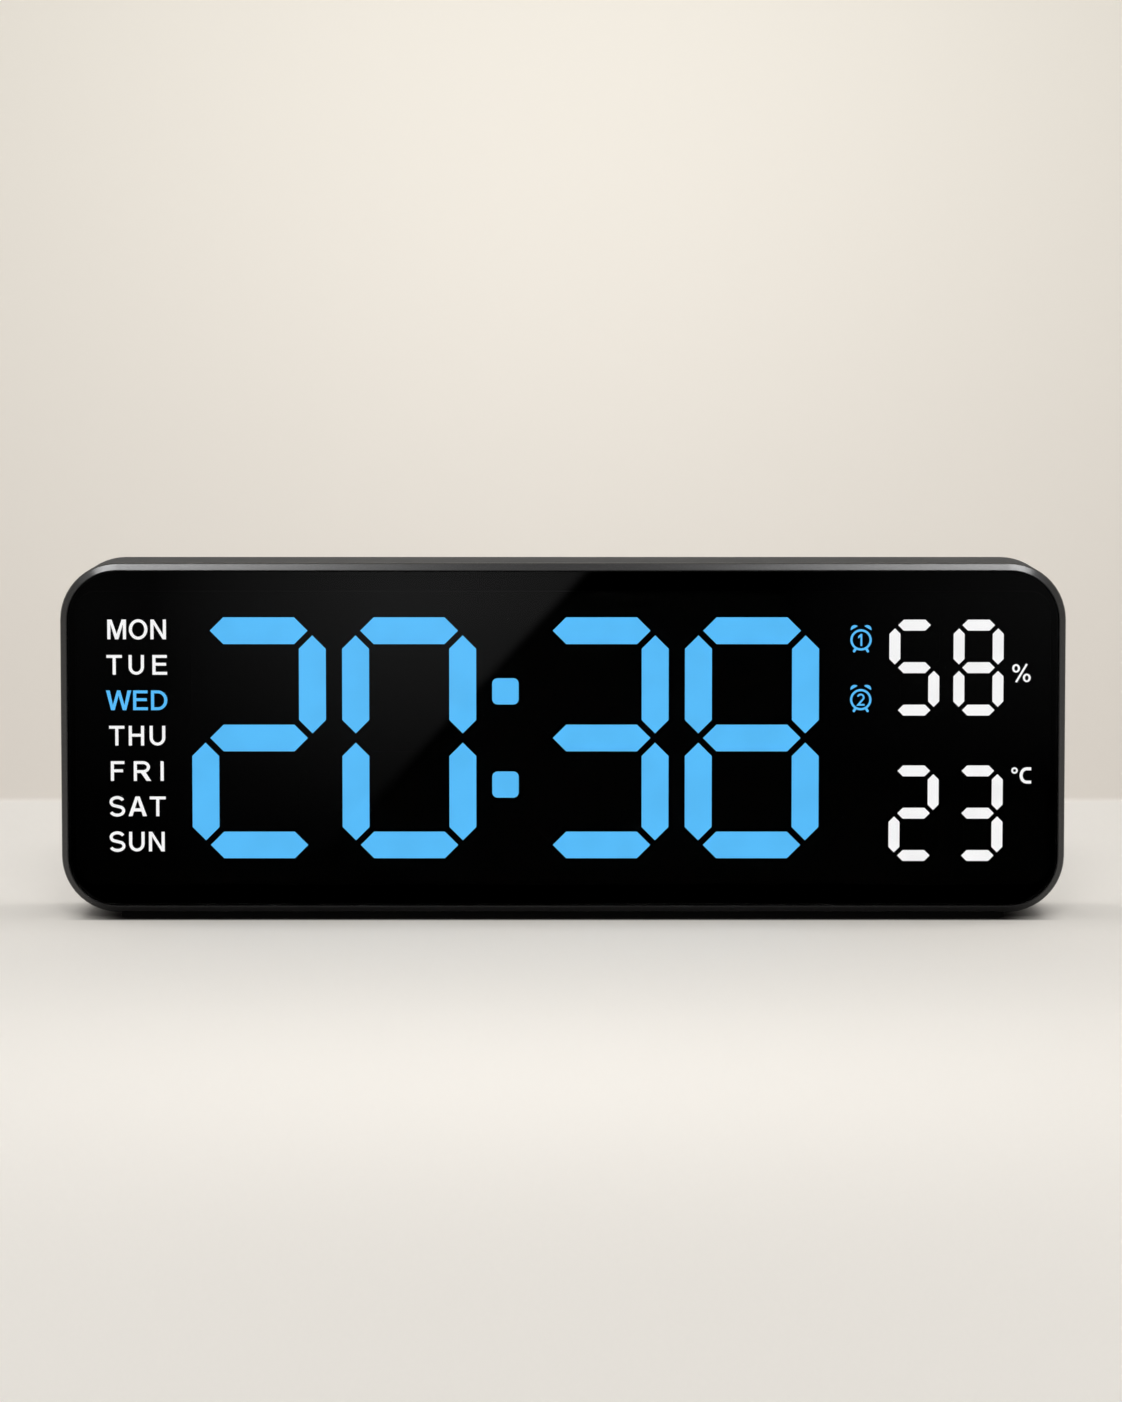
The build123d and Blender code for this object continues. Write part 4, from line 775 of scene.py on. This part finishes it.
def flat_sign(
    name: str, outlines: Shape, thickness: float, place: Vector, facing: Facing
) -> Object:
    """Makes a thin upright sign from closed outlines.

    Args:
        name: The piece's name.
        outlines: Closed outlines in millimetres; one inside another is a hole.
        thickness: The sign's thickness in millimetres.
        place: Where the outlines' origin goes, on the surface that carries the sign, in metres.
        facing: The side that the sign is read from.

    Returns:
        The sign as a mesh in its place.
    """
    curve = bpy.data.curves.new(name, "CURVE")
    curve.dimensions = "2D"
    curve.fill_mode = "BOTH"
    curve.extrude = thickness * MM / 2
    for outline in outlines:
        spline = curve.splines.new("POLY")
        spline.points.add(len(outline) - 1)
        for point, (x, y) in zip(spline.points, outline):
            point.co = (x * MM, y * MM, 0.0, 1.0)
        spline.use_cyclic_u = True
    sign = bpy.data.objects.new(name, curve)
    bpy.context.scene.collection.objects.link(sign)
    select_only(sign)
    bpy.ops.object.convert(target="MESH")
    sign = bpy.context.view_layer.objects.active
    outward, turn = facing.value
    sign.rotation_euler = (math.pi / 2, 0.0, turn)
    sign.location = place + Vector((0.0, outward * thickness * MM / 2, 0.0))
    settle(sign)
    bpy.ops.object.mode_set(mode="EDIT")
    bpy.ops.mesh.select_all(action="SELECT")
    bpy.ops.mesh.remove_doubles(threshold=WELD_DISTANCE)
    bpy.ops.mesh.normals_make_consistent(inside=False)
    bpy.ops.object.mode_set(mode="OBJECT")
    return sign


def lit_sign(name: str, outlines: Shape, place: Point, slot: str) -> None:
    """Makes a lit sign on the face film and hands it in.

    Args:
        name: The piece's name.
        outlines: Closed outlines in millimetres.
        place: Where the outlines' origin goes, across and up in millimetres.
        slot: The slot of its light.
    """
    across, up = place
    spot = Vector((across * MM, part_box("face_film")[0].y, up * MM))
    sign = flat_sign(name, outlines, LIT_SIGN_THICKNESS, spot, Facing.FRONT)
    hand_in(sign, "case", slot)


@dataclass
class WeekdayColumn:
    """The seven weekday words at the left of the face. Only the present day is lit blue.

    Each letter has its start and its width.
    """

    left: float = -143.4
    first_row: float = 91.0
    pitch: float = 11.15
    height: float = 6.2
    stem: float = 0.97
    arm: float = 0.9
    today: str = "WED"
    words: tuple[tuple[str, tuple[Point, ...]], ...] = (
        ("MON", ((0.74, 5.85), (7.5, 5.8), (14.25, 4.85))),
        ("TUE", ((0.4, 4.85), (7.35, 4.8), (14.8, 4.6))),
        ("WED", ((0.2, 7.9), (8.7, 4.6), (14.3, 5.1))),
        ("THU", ((1.1, 4.8), (7.25, 4.8), (13.8, 4.9))),
        ("FRI", ((1.55, 4.25), (8.75, 5.4), (17.15, 0.98))),
        ("SAT", ((0.97, 5.0), (7.02, 5.75), (13.7, 5.0))),
        ("SUN", ((0.93, 5.05), (7.15, 4.85), (13.36, 4.95))),
    )

    def build(self) -> None:
        """Builds the words on the face film."""
        lettering = Lettering(self.height, self.stem, self.arm)
        for row, (word, places) in enumerate(self.words):
            outlines: Shape = []
            for letter, (start, width) in zip(word, places):
                outlines += shifted(lettering.draw(letter, width), (start, -self.height / 2))
            slot = "segment_blue" if word == self.today else "segment_white"
            place = (self.left, self.first_row - row * self.pitch)
            lit_sign(f"weekday_{word.lower()}", outlines, place, slot)


@dataclass
class LensPrint:
    """The black border printed on the back of the lens, which hides the edge of the film."""

    reach: float = 1.1
    overlap: float = 0.7
    corner: float = 5.4
    corner_steps: int = 12
    gap: float = 0.02
    thickness: float = 0.04

    def build(self) -> None:
        """Builds the border between the tape and the film's windows."""
        low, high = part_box("face_film")
        middle = (low + high) / 2
        outlines: Shape = []
        for grow in (self.reach, -self.overlap):
            half = ((high.x - low.x) / 2 / MM + grow, (high.z - low.z) / 2 / MM + grow)
            radius = self.corner + grow
            outline: Outline = []
            for turn, (side, rise) in zip((0, 90, 180, 270), ((1, 1), (-1, 1), (-1, -1), (1, -1))):
                centre = (side * (half[0] - radius), rise * (half[1] - radius))
                outline += arc(centre, (radius, radius), turn, turn + 90, self.corner_steps)
            outlines.append(outline)
        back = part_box("lens_panel")[1].y + (self.gap + self.thickness) * MM
        place = Vector((middle.x, back, middle.z))
        border = flat_sign("lens_border_print", outlines, self.thickness, place, Facing.FRONT)
        hand_in(border, "case", "film")


@dataclass
class AlarmSigns:
    """Two bell-clock pictograms, numbered 1 and 2."""

    middle: float = 93.3
    rows: Point = (87.7, 68.9)
    radius: float = 3.34
    line: float = 0.68
    bell_radius: float = 1.32
    bell_reach: float = 3.86
    bell_lean: float = 30.0
    bell_spread: float = 73.0
    foot_reach: float = 4.55
    foot_width: float = 0.8
    foot_lean: float = 31.0
    figure_height: float = 3.8
    figure_line: float = 0.56
    figure_widths: Point = (1.3, 2.4)
    figure_leans: Point = (0.25, 0.0)

    def body(self) -> Shape:
        """The outlines of the ring with its feet, and of the bells, around the ring's middle."""
        rim_radii = (self.radius, self.radius)
        tip_radii = (self.foot_width / 2, self.foot_width / 2)
        half = math.degrees(math.asin(self.foot_width / 2 / self.radius))
        feet = (270 - self.foot_lean, 270 + self.foot_lean)
        rim = arc((0, 0), rim_radii, feet[1] + half - FULL_TURN, feet[0] - half, 60)
        for turn in feet:
            tip = polar(turn, self.foot_reach - self.foot_width / 2)
            rim += arc(tip, tip_radii, turn - 90, turn + 90, 8)
            if turn == feet[0]:
                rim += arc((0, 0), rim_radii, turn + half, feet[1] - half, 10)
        hollow = oval((0, 0), (self.radius - self.line, self.radius - self.line))
        bells: Shape = []
        for turn in (90 - self.bell_lean, 90 + self.bell_lean):
            middle = polar(turn, self.bell_reach)
            ends = (turn - self.bell_spread, turn + self.bell_spread)
            bells.append(arc(middle, (self.bell_radius, self.bell_radius), *ends, 20))
        return [rim, hollow, *bells]

    def build(self) -> None:
        """Builds both signs on the face film."""
        lettering = Lettering(self.figure_height, self.figure_line, self.figure_line)
        signs = zip("12", self.rows, self.figure_widths, self.figure_leans)
        for figure, row, width, lean in signs:
            start = (-width / 2 - lean, -self.figure_height / 2)
            outlines = [*self.body(), *shifted(lettering.draw(figure, width), start)]
            lit_sign(f"alarm_sign_{figure}", outlines, (self.middle, row), "segment_blue")


@dataclass
class UnitSigns:
    """The percent sign and the degree sign beside the small figures."""

    percent_place: Point = (143.6, 77.25)
    slash: Point = (1.68, 2.85)
    slash_line: float = 0.62
    ring_offset: Point = (1.68, 1.5)
    ring_outer: Point = (1.23, 1.34)
    ring_inner: Point = (0.55, 0.78)
    degree_place: Point = (144.2, 45.0)
    degree_offset: float = -2.55
    degree_radius: float = 1.02
    degree_hole: float = 0.46
    letter_start: float = -0.95
    letter_height: float = 5.15
    letter_width: float = 3.62
    letter_bend: float = 2.25
    letter_line: float = 0.95

    def percent(self) -> Shape:
        """The outlines of the percent sign around its middle."""
        sign = [stroke([(-self.slash[0], -self.slash[1]), self.slash], self.slash_line)]
        for side in (-1, 1):
            middle = (side * self.ring_offset[0], -side * self.ring_offset[1])
            sign += ring(middle, self.ring_outer, self.ring_inner)
        return sign

    def degree(self) -> Shape:
        """The outlines of the degree ring and its letter, whose round back has straight arms."""
        top = self.letter_height / 2
        arm = top - self.letter_line / 2
        end = self.letter_start + self.letter_width
        centre = (self.letter_start + self.letter_bend, 0.0)
        back = arc(centre, (self.letter_bend - self.letter_line / 2, arm), 90, 270, 32)
        letter = stroke([(end, arm), *back, (end, -arm)], self.letter_line)
        middle = (self.degree_offset, top - self.degree_radius)
        return [letter, *ring(middle, (self.degree_radius,) * 2, (self.degree_hole,) * 2)]

    def build(self) -> None:
        """Builds both signs on the face film."""
        lit_sign("percent_sign", self.percent(), self.percent_place, "segment_white")
        lit_sign("degree_sign", self.degree(), self.degree_place, "segment_white")


@dataclass
class KeySigns:
    """Small printed pictograms above the keys on the back."""

    rise: float = 6.1
    thickness: float = 0.05
    panel_sink: float = 1.2
    word: str = "SET"
    letter_height: float = 1.9
    letter_width: float = 1.4
    letter_line: float = 0.32
    letter_pitch: float = 1.9
    letter_shift: float = 0.25
    arrow: tuple[Point, ...] = ((-1.2, -0.8), (1.2, -0.8), (0.0, 1.0))
    bell_foot: Point = (1.1, -0.6)
    bell_middle: Point = (0.0, 0.1)
    bell_radii: Point = (0.75, 0.85)
    clapper_middle: Point = (0.0, -0.85)
    clapper_radii: Point = (0.3, 0.2)
    sun_radius: float = 0.55
    ray_count: int = 8
    ray_span: Point = (0.8, 1.2)
    ray_width: float = 0.25

    def shapes(self) -> dict[str, Shape]:
        """The outlines of each key's sign, by key."""
        lettering = Lettering(self.letter_height, self.letter_line, self.letter_line)
        letters: Shape = []
        for place, letter in enumerate(self.word):
            start = (place - len(self.word) / 2) * self.letter_pitch + self.letter_shift
            drawn = lettering.draw(letter, self.letter_width)
            letters += shifted(drawn, (start, -self.letter_height / 2))
        foot, level = self.bell_foot
        bell = [(-foot, level), (foot, level), *arc(self.bell_middle, self.bell_radii, 0, 180, 16)]
        clapper = arc(self.clapper_middle, self.clapper_radii, 180, 360, 8)
        sun = [oval((0.0, 0.0), (self.sun_radius, self.sun_radius), 20)]
        for step in range(self.ray_count):
            turn = step * FULL_TURN / self.ray_count
            sun.append(stroke([polar(turn, reach) for reach in self.ray_span], self.ray_width))
        return {
            "set": letters,
            "up": [list(self.arrow)],
            "down": [[(x, -y) for x, y in self.arrow[::-1]]],
            "alarm": [bell, clapper],
            "light": sun,
        }

    def build(self) -> None:
        """Builds the signs on the sunk key panel."""
        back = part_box("rear_shell")[1].y
        for key, outlines in self.shapes().items():
            low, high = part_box(f"{key}_key")
            middle = (low + high) / 2
            place = Vector((middle.x, back - self.panel_sink * MM, middle.z + self.rise * MM))
            sign = flat_sign(f"{key}_key_sign", outlines, self.thickness, place, Facing.BACK)
            hand_in(sign, "case", "legend_bar", "print_grey")


@dataclass
class DoorGrip:
    """Grip ribs on the cell door and the plus sign on the cell under it."""

    rib_length: float = 12.0
    rib_width: float = 0.8
    rib_height: float = 0.15
    rib_pitch: float = 1.7
    rib_count: int = 4
    rib_drop: float = 3.0
    bevel_share: float = 0.4
    bevel_steps: int = 2
    smooth_angle: float = 35.0
    sign_size: float = 4.0
    sign_line: float = 0.9
    sign_thickness: float = 0.05

    def build_ribs(self) -> None:
        """Builds the ribs on the door."""
        low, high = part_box("cell_door")
        bpy.ops.object.select_all(action="DESELECT")
        bpy.ops.mesh.primitive_cube_add(size=1.0)
        ribs = bpy.context.active_object
        ribs.name = "door_ribs"
        ribs.scale = (self.rib_length * MM, self.rib_height * MM, self.rib_width * MM)
        top = high.z - self.rib_drop * MM
        ribs.location = ((low.x + high.x) / 2, high.y + self.rib_height * MM / 2, top)
        settle(ribs)
        bpy.ops.object.mode_set(mode="EDIT")
        bpy.ops.mesh.select_all(action="SELECT")
        bpy.ops.mesh.bevel(
            offset=self.bevel_share * self.rib_height * MM, segments=self.bevel_steps
        )
        bpy.ops.object.mode_set(mode="OBJECT")
        array = ribs.modifiers.new("rows", "ARRAY")
        array.count = self.rib_count
        array.use_relative_offset = False
        array.use_constant_offset = True
        array.constant_offset_displace = (0.0, 0.0, -self.rib_pitch * MM)
        bpy.ops.object.modifier_apply(modifier="rows")
        bpy.ops.object.shade_smooth_by_angle(angle=math.radians(self.smooth_angle))
        hand_in(ribs, "cell_door", "case_plastic")

    def build(self) -> None:
        """Builds the ribs on the door and the sign on the cell."""
        self.build_ribs()
        low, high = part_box("backup_cell")
        far, near = self.sign_size / 2, self.sign_line / 2
        upper = (far, near, near, far, -near, near, -far)
        plus = stepped((-far, -near), -near, -far, near, -near, *upper)
        place = Vector(((low.x + high.x) / 2, high.y, (low.z + high.z) / 2))
        sign = flat_sign("cell_plus_sign", [plus], self.sign_thickness, place, Facing.BACK)
        hand_in(sign, "case", "steel", "component_black")


def add_plane(name: str, size: Point, place: Place, tilt: float = 0.0) -> Object:
    """Adds a flat rectangle.

    Args:
        name: Its name.
        size: Its width and length in metres.
        place: Its middle in metres.
        tilt: How far it is turned about the line from left to right, in degrees.

    Returns:
        The rectangle.
    """
    bpy.ops.object.select_all(action="DESELECT")
    bpy.ops.mesh.primitive_plane_add(size=1.0)
    plane = bpy.context.active_object
    plane.name = name
    plane.scale = (*size, 1.0)
    plane.rotation_euler = (math.radians(tilt), 0.0, 0.0)
    plane.location = place
    settle(plane)
    return plane


def add_card(name: str, size: Point, place: Place, tilt: float, rays: Rays) -> tuple[Graph, Node]:
    """Adds a card which only one kind of ray sees. It is black until its glow is fed.

    Args:
        name: The card's name.
        size: Its width and height in metres.
        place: Its middle in metres.
        tilt: How far it is turned, as in add_plane.
        rays: The kind of ray that sees it.

    Returns:
        The graph of its material and the node of its glow.
    """
    card = add_plane(name, size, place, tilt)
    for kind in Rays:
        setattr(card, f"visible_{kind.value}", kind is rays)
    material, graph, _ = start_material(name)
    graph.tree.nodes.clear()
    glow = graph.add("ShaderNodeEmission", {"Strength": 0.0})
    graph.add("ShaderNodeOutputMaterial", {"Surface": glow.outputs[0]})
    card.data.materials.append(material)
    return graph, glow


@dataclass(frozen=True)
class PaintedContactShade:
    """Painted shade on the table in the gap under the clock. Each pair is where it fades, in
    metres.
    """

    # The colour of the painted shade.
    colour: Colour = (0.012, 0.011, 0.01)
    ends: Point = (0.137, 0.159)
    front: Point = (-0.0175, -0.0145)
    back: Point = (0.01, 0.022)

    def share(self, graph: Graph, axes: Sockets) -> NodeSocket:
        """How far the painted shade darkens the table.

        Args:
            graph: The graph of the table's material.
            axes: The place on the table along each axis.

        Returns:
            The share, from 0 beside the clock to 1 under it.
        """
        across = graph.math("ABSOLUTE", axes["X"])
        ends = graph.ramp(across, self.ends, (1.0, 0.0), smooth=True)
        front = graph.ramp(axes["Y"], self.front, smooth=True)
        back = graph.ramp(axes["Y"], self.back, (1.0, 0.0), smooth=True)
        return graph.product(ends, graph.product(front, back))


@dataclass(frozen=True)
class StagePaint:
    """Pale matt paint that is clear from behind, so that the clock's back can be seen.

    Its colour goes from low to high over a span, in metres, of one axis, as a painted fall-off of
    light and shade. The foot is its colour at the table's own height, where that differs. The
    shade, where given, is painted shade under the clock.
    """

    name: str
    low: Colour
    high: Colour
    axis: str
    span: Point
    foot: Colour | None = None
    # Painted shade under the clock, where given.
    shade: PaintedContactShade | None = None
    cloud_scale: float = 7.0
    cloud_share: float = 0.05
    roughness: float = 0.8
    specular: float = 0.1

    def material(self) -> Material:
        """Builds the material of this paint."""
        material, graph, shader = start_material(self.name)
        axes = graph.axes()
        cloud = graph.math("SUBTRACT", graph.noise(graph.place(), self.cloud_scale), NOISE_MIDDLE)
        # Painted light and shade: the colour grows lighter or darker along one axis.
        rise = graph.ramp(axes[self.axis], self.span)
        share = graph.math("ADD", rise, graph.product(cloud, self.cloud_share))
        colour = graph.blend(share, self.low, self.high)
        if self.foot is not None:
            turn = graph.ramp(axes["Z"], (0.0, COVE_RADIUS), smooth=True)
            colour = graph.blend(turn, self.foot, colour)
        # Painted shade: the colour is darkened under the clock.
        if self.shade is not None:
            colour = graph.blend(self.shade.share(graph, axes), colour, self.shade.colour)
        graph.feed(shader, {"Base Color": colour, "Roughness": self.roughness})
        graph.feed(shader, {"Specular IOR Level": self.specular})
        behind = graph.add("ShaderNodeNewGeometry").outputs["Backfacing"]
        clear = graph.add("ShaderNodeBsdfTransparent").outputs[0]
        mix = graph.add("ShaderNodeMixShader", {0: behind, 1: shader.outputs[0], 2: clear})
        graph.feed(graph.tree.nodes["Material Output"], {"Surface": mix.outputs[0]})
        return material


@dataclass(frozen=True)
class SheenCard:
    """The card that the lens mirrors, in metres.

    It has a wedge of light with a slanting right edge, and a faint glow in its upper right corner.
    """

    size: Point = (0.42, 0.24)
    gap: float = 0.012
    lift: float = 0.0005
    black_gap: float = 0.001
    level: float = 0.285
    edge_slope: float = 0.925
    edge_start: float = -0.0902
    edge_blur: float = 0.006
    swell: Point = (-0.13, -0.055)
    swell_low: float = 0.14
    fall: Point = (-0.035, 0.005)
    fall_low: float = 0.73
    rise: Point = (0.012, 0.1)
    rise_power: float = 1.4
    corner_across: Point = (0.07, 0.16)
    corner_up: Point = (0.04, 0.105)
    corner_level: float = 0.35

    def build(self) -> None:
        """Builds the card, and the black one that keeps the room's light off the film."""
        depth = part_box("front_frame")[0].y - self.gap
        middle = self.size[1] / 2 + self.lift
        place = (0.0, depth, middle)
        graph, glow = add_card("sheen_card", self.size, place, -90, Rays.GLOSSY)
        axes = graph.axes()
        across, up = axes["X"], axes["Z"]
        edge = graph.math("ADD", graph.product(up, self.edge_slope), self.edge_start)
        inside = graph.math("SUBTRACT", edge, across)
        sharp = graph.ramp(inside, (0.0, self.edge_blur), smooth=True)
        swell = graph.ramp(across, self.swell, (self.swell_low, 1.0))
        fall = graph.ramp(across, self.fall, (1.0, self.fall_low))
        rise = graph.math("POWER", graph.ramp(up, self.rise), self.rise_power)
        corner = graph.ramp(across, self.corner_across, (0.0, self.corner_level))
        sheen = graph.product(sharp, swell, fall, rise)
        faint = graph.product(corner, graph.ramp(up, self.corner_up))
        total = graph.math("ADD", sheen, faint)
        graph.feed(glow, {"Strength": graph.product(total, self.level)})
        behind = (0.0, depth - self.black_gap, middle)
        add_card("black_card", self.size, behind, -90, Rays.TRANSMISSION)


@dataclass(frozen=True)
class BezelCard:
    """The card overhead that the bezel mirrors, in metres. It is darker in its middle and ends."""

    size: Point = (3.0, 0.22)
    place: Place = (0.0, -0.095, 1.1)
    level: float = 27.0
    middle: Point = (0.05, 0.32)
    ends: Point = (0.45, 0.95)
    end_level: float = 0.08

    def build(self) -> None:
        """Builds the card."""
        graph, glow = add_card("bezel_card", self.size, self.place, 180, Rays.GLOSSY)
        reach = graph.math("ABSOLUTE", graph.axes()["X"])
        far = graph.ramp(reach, self.middle, smooth=True)
        end = graph.ramp(reach, self.ends, (1.0, self.end_level), smooth=True)
        graph.feed(glow, {"Strength": graph.product(far, end, self.level)})


@dataclass(frozen=True)
class SoftLamp:
    """A rectangular lamp, in metres and watts. Its spread is in degrees."""

    name: str
    place: Place
    target: Place
    size: Point
    power: float
    spread: float = 180.0
    mirrored: bool = True
    colour: Colour = (1.0, 0.985, 0.96)

    def build(self) -> None:
        """Hangs the lamp in its place and points it at its target."""
        data = bpy.data.lights.new(self.name, "AREA")
        data.shape = "RECTANGLE"
        data.size, data.size_y = self.size
        data.energy = self.power
        data.color = self.colour
        data.spread = math.radians(self.spread)
        lamp = bpy.data.objects.new(self.name, data)
        bpy.context.scene.collection.objects.link(lamp)
        lamp.location = self.place
        aim = Vector(self.target) - Vector(self.place)
        lamp.rotation_euler = aim.to_track_quat("-Z", "Y").to_euler()
        lamp.visible_glossy = self.mirrored


@dataclass(frozen=True)
class PhotoCamera:
    """The camera at the photograph's viewing angle.

    Its place is in metres, its pitch in degrees, its sensor in millimetres and the rest in pixels.
    """

    distance: float = 1.0532
    height: float = 0.19726
    across: float = -0.00063
    pitch: float = 3.0
    sensor: float = 36.0
    image_height: float = 1402.0
    focal_length: float = 3383.6
    middle_row: float = 466.8
    nearest: float = 0.01

    def build(self) -> None:
        """Builds the camera and makes it the scene's own."""
        data = bpy.data.cameras.new("photo_camera")
        data.sensor_width = self.sensor
        data.lens = self.focal_length * self.sensor / self.image_height
        data.shift_y = -(self.image_height / 2 - self.middle_row) / self.image_height
        data.clip_start = self.nearest
        camera = bpy.data.objects.new("photo_camera", data)
        bpy.context.scene.collection.objects.link(camera)
        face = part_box("front_frame")[0].y
        camera.location = (self.across, face - self.distance, self.height)
        camera.rotation_euler = (math.radians(90 - self.pitch), 0.0, 0.0)
        bpy.context.scene.camera = camera


@dataclass
class Studio:
    """Pale table and wall, soft lamps, cards for the reflections, and the camera, in metres."""

    table_size: Point = (8.0, 8.0)
    wall_size: Point = (8.0, 2.4)
    wall_depth: float = 0.226
    wall_lift: float = 0.0003
    cove_steps: int = 10
    # Painted light and shade: the table is lighter at the front and darker towards the wall.
    table_paint: StagePaint = StagePaint(
        "table_paint",
        low=(0.95, 0.915, 0.865), high=(0.8, 0.77, 0.727),
        axis="Y", span=(-0.16, 0.16), shade=PaintedContactShade(),
    )
    # Painted shade: the wall is darker at its foot and lighter higher up. Its foot takes the
    # table's darker back colour.
    wall_paint: StagePaint = StagePaint(
        "wall_paint",
        low=(0.82, 0.778, 0.73), high=(0.93, 0.895, 0.83),
        axis="Z", span=(0.0, 0.3), foot=(0.8, 0.77, 0.727),
    )
    lamps: tuple[SoftLamp, ...] = (
        SoftLamp("left_box", (-0.62, 0.08, 1.15), (-0.1, 0.0, 0.05), (0.26, 0.3), 2.1),
        SoftLamp("right_box", (0.62, 0.08, 1.15), (0.1, 0.0, 0.05), (0.26, 0.3), 2.1),
        SoftLamp(
            "wall_wash", (0.0, -0.5, 0.6), (0.0, 0.226, 0.12), (0.2, 0.1), 0.21,
            spread=50.0, mirrored=False,
        ),
        SoftLamp(
            "table_pool", (0.0, -0.225, 0.36), (0.0, -0.225, 0.0), (0.3, 0.1), 0.025,
            spread=50.0, mirrored=False,
        ),
    )
    room_colour: Colour = (0.96, 0.95, 0.93)
    room_level: float = 0.67

    def build_surfaces(self) -> None:
        """Builds the table, and the wall with the small cove at its foot."""
        table = add_plane("table", self.table_size, (0.0, 0.0, 0.0))
        table.data.materials.append(self.table_paint.material())
        middle = (0.0, self.wall_depth, self.wall_size[1] / 2 + self.wall_lift)
        wall = add_plane("wall", self.wall_size, middle, 90)
        self.select_low_edge(wall)
        bpy.ops.mesh.extrude_region_move(
            TRANSFORM_OT_translate={"value": (0.0, -2 * COVE_RADIUS, 0.0)}
        )
        bpy.ops.object.mode_set(mode="OBJECT")
        self.select_low_edge(wall)
        bpy.ops.mesh.bevel(offset=COVE_RADIUS, segments=self.cove_steps, affect="EDGES")
        bpy.ops.object.mode_set(mode="OBJECT")
        bpy.ops.object.shade_smooth()
        wall.data.materials.append(self.wall_paint.material())
        wall.visible_shadow = False
        wall.visible_diffuse = False

    def select_low_edge(self, wall: Object) -> None:
        """Selects the edge at the wall's foot, and goes into edit mode."""
        select_only(wall)
        bpy.ops.object.mode_set(mode="EDIT")
        bpy.ops.mesh.select_mode(type="EDGE")
        bpy.ops.mesh.select_all(action="DESELECT")
        bpy.ops.object.mode_set(mode="OBJECT")
        for edge in wall.data.edges:
            ends = [wall.data.vertices[place].co for place in edge.vertices]
            gaps = [max(abs(end.z - self.wall_lift), abs(end.y - self.wall_depth)) for end in ends]
            edge.select = max(gaps) < EDGE_TOLERANCE
        bpy.ops.object.mode_set(mode="EDIT")

    def build_room(self) -> None:
        """Builds the world's even light."""
        world = bpy.data.worlds.new("room")
        bpy.context.scene.world = world
        world.use_nodes = True
        sky = world.node_tree.nodes["Background"]
        Graph(world.node_tree).feed(sky, {"Color": self.room_colour, "Strength": self.room_level})

    def build(self) -> None:
        """Builds everything around the clock."""
        bpy.context.scene.view_settings.view_transform = "Standard"
        self.build_surfaces()
        for piece in (SheenCard(), BezelCard(), *self.lamps, PhotoCamera()):
            piece.build()
        self.build_room()


def main() -> None:
    """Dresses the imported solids, builds the signs and grips, and sets up the studio."""
    logging.basicConfig(level=logging.INFO, format="%(message)s")
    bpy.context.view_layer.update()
    FINISHES.build()
    FINISHES.dress_nodes()
    assemblies = (
        LensPrint(),
        WeekdayColumn(),
        AlarmSigns(),
        UnitSigns(),
        KeySigns(),
        DoorGrip(),
    )
    for assembly in assemblies:
        assembly.build()
    Studio().build()


if __name__ == "__main__":
    main()
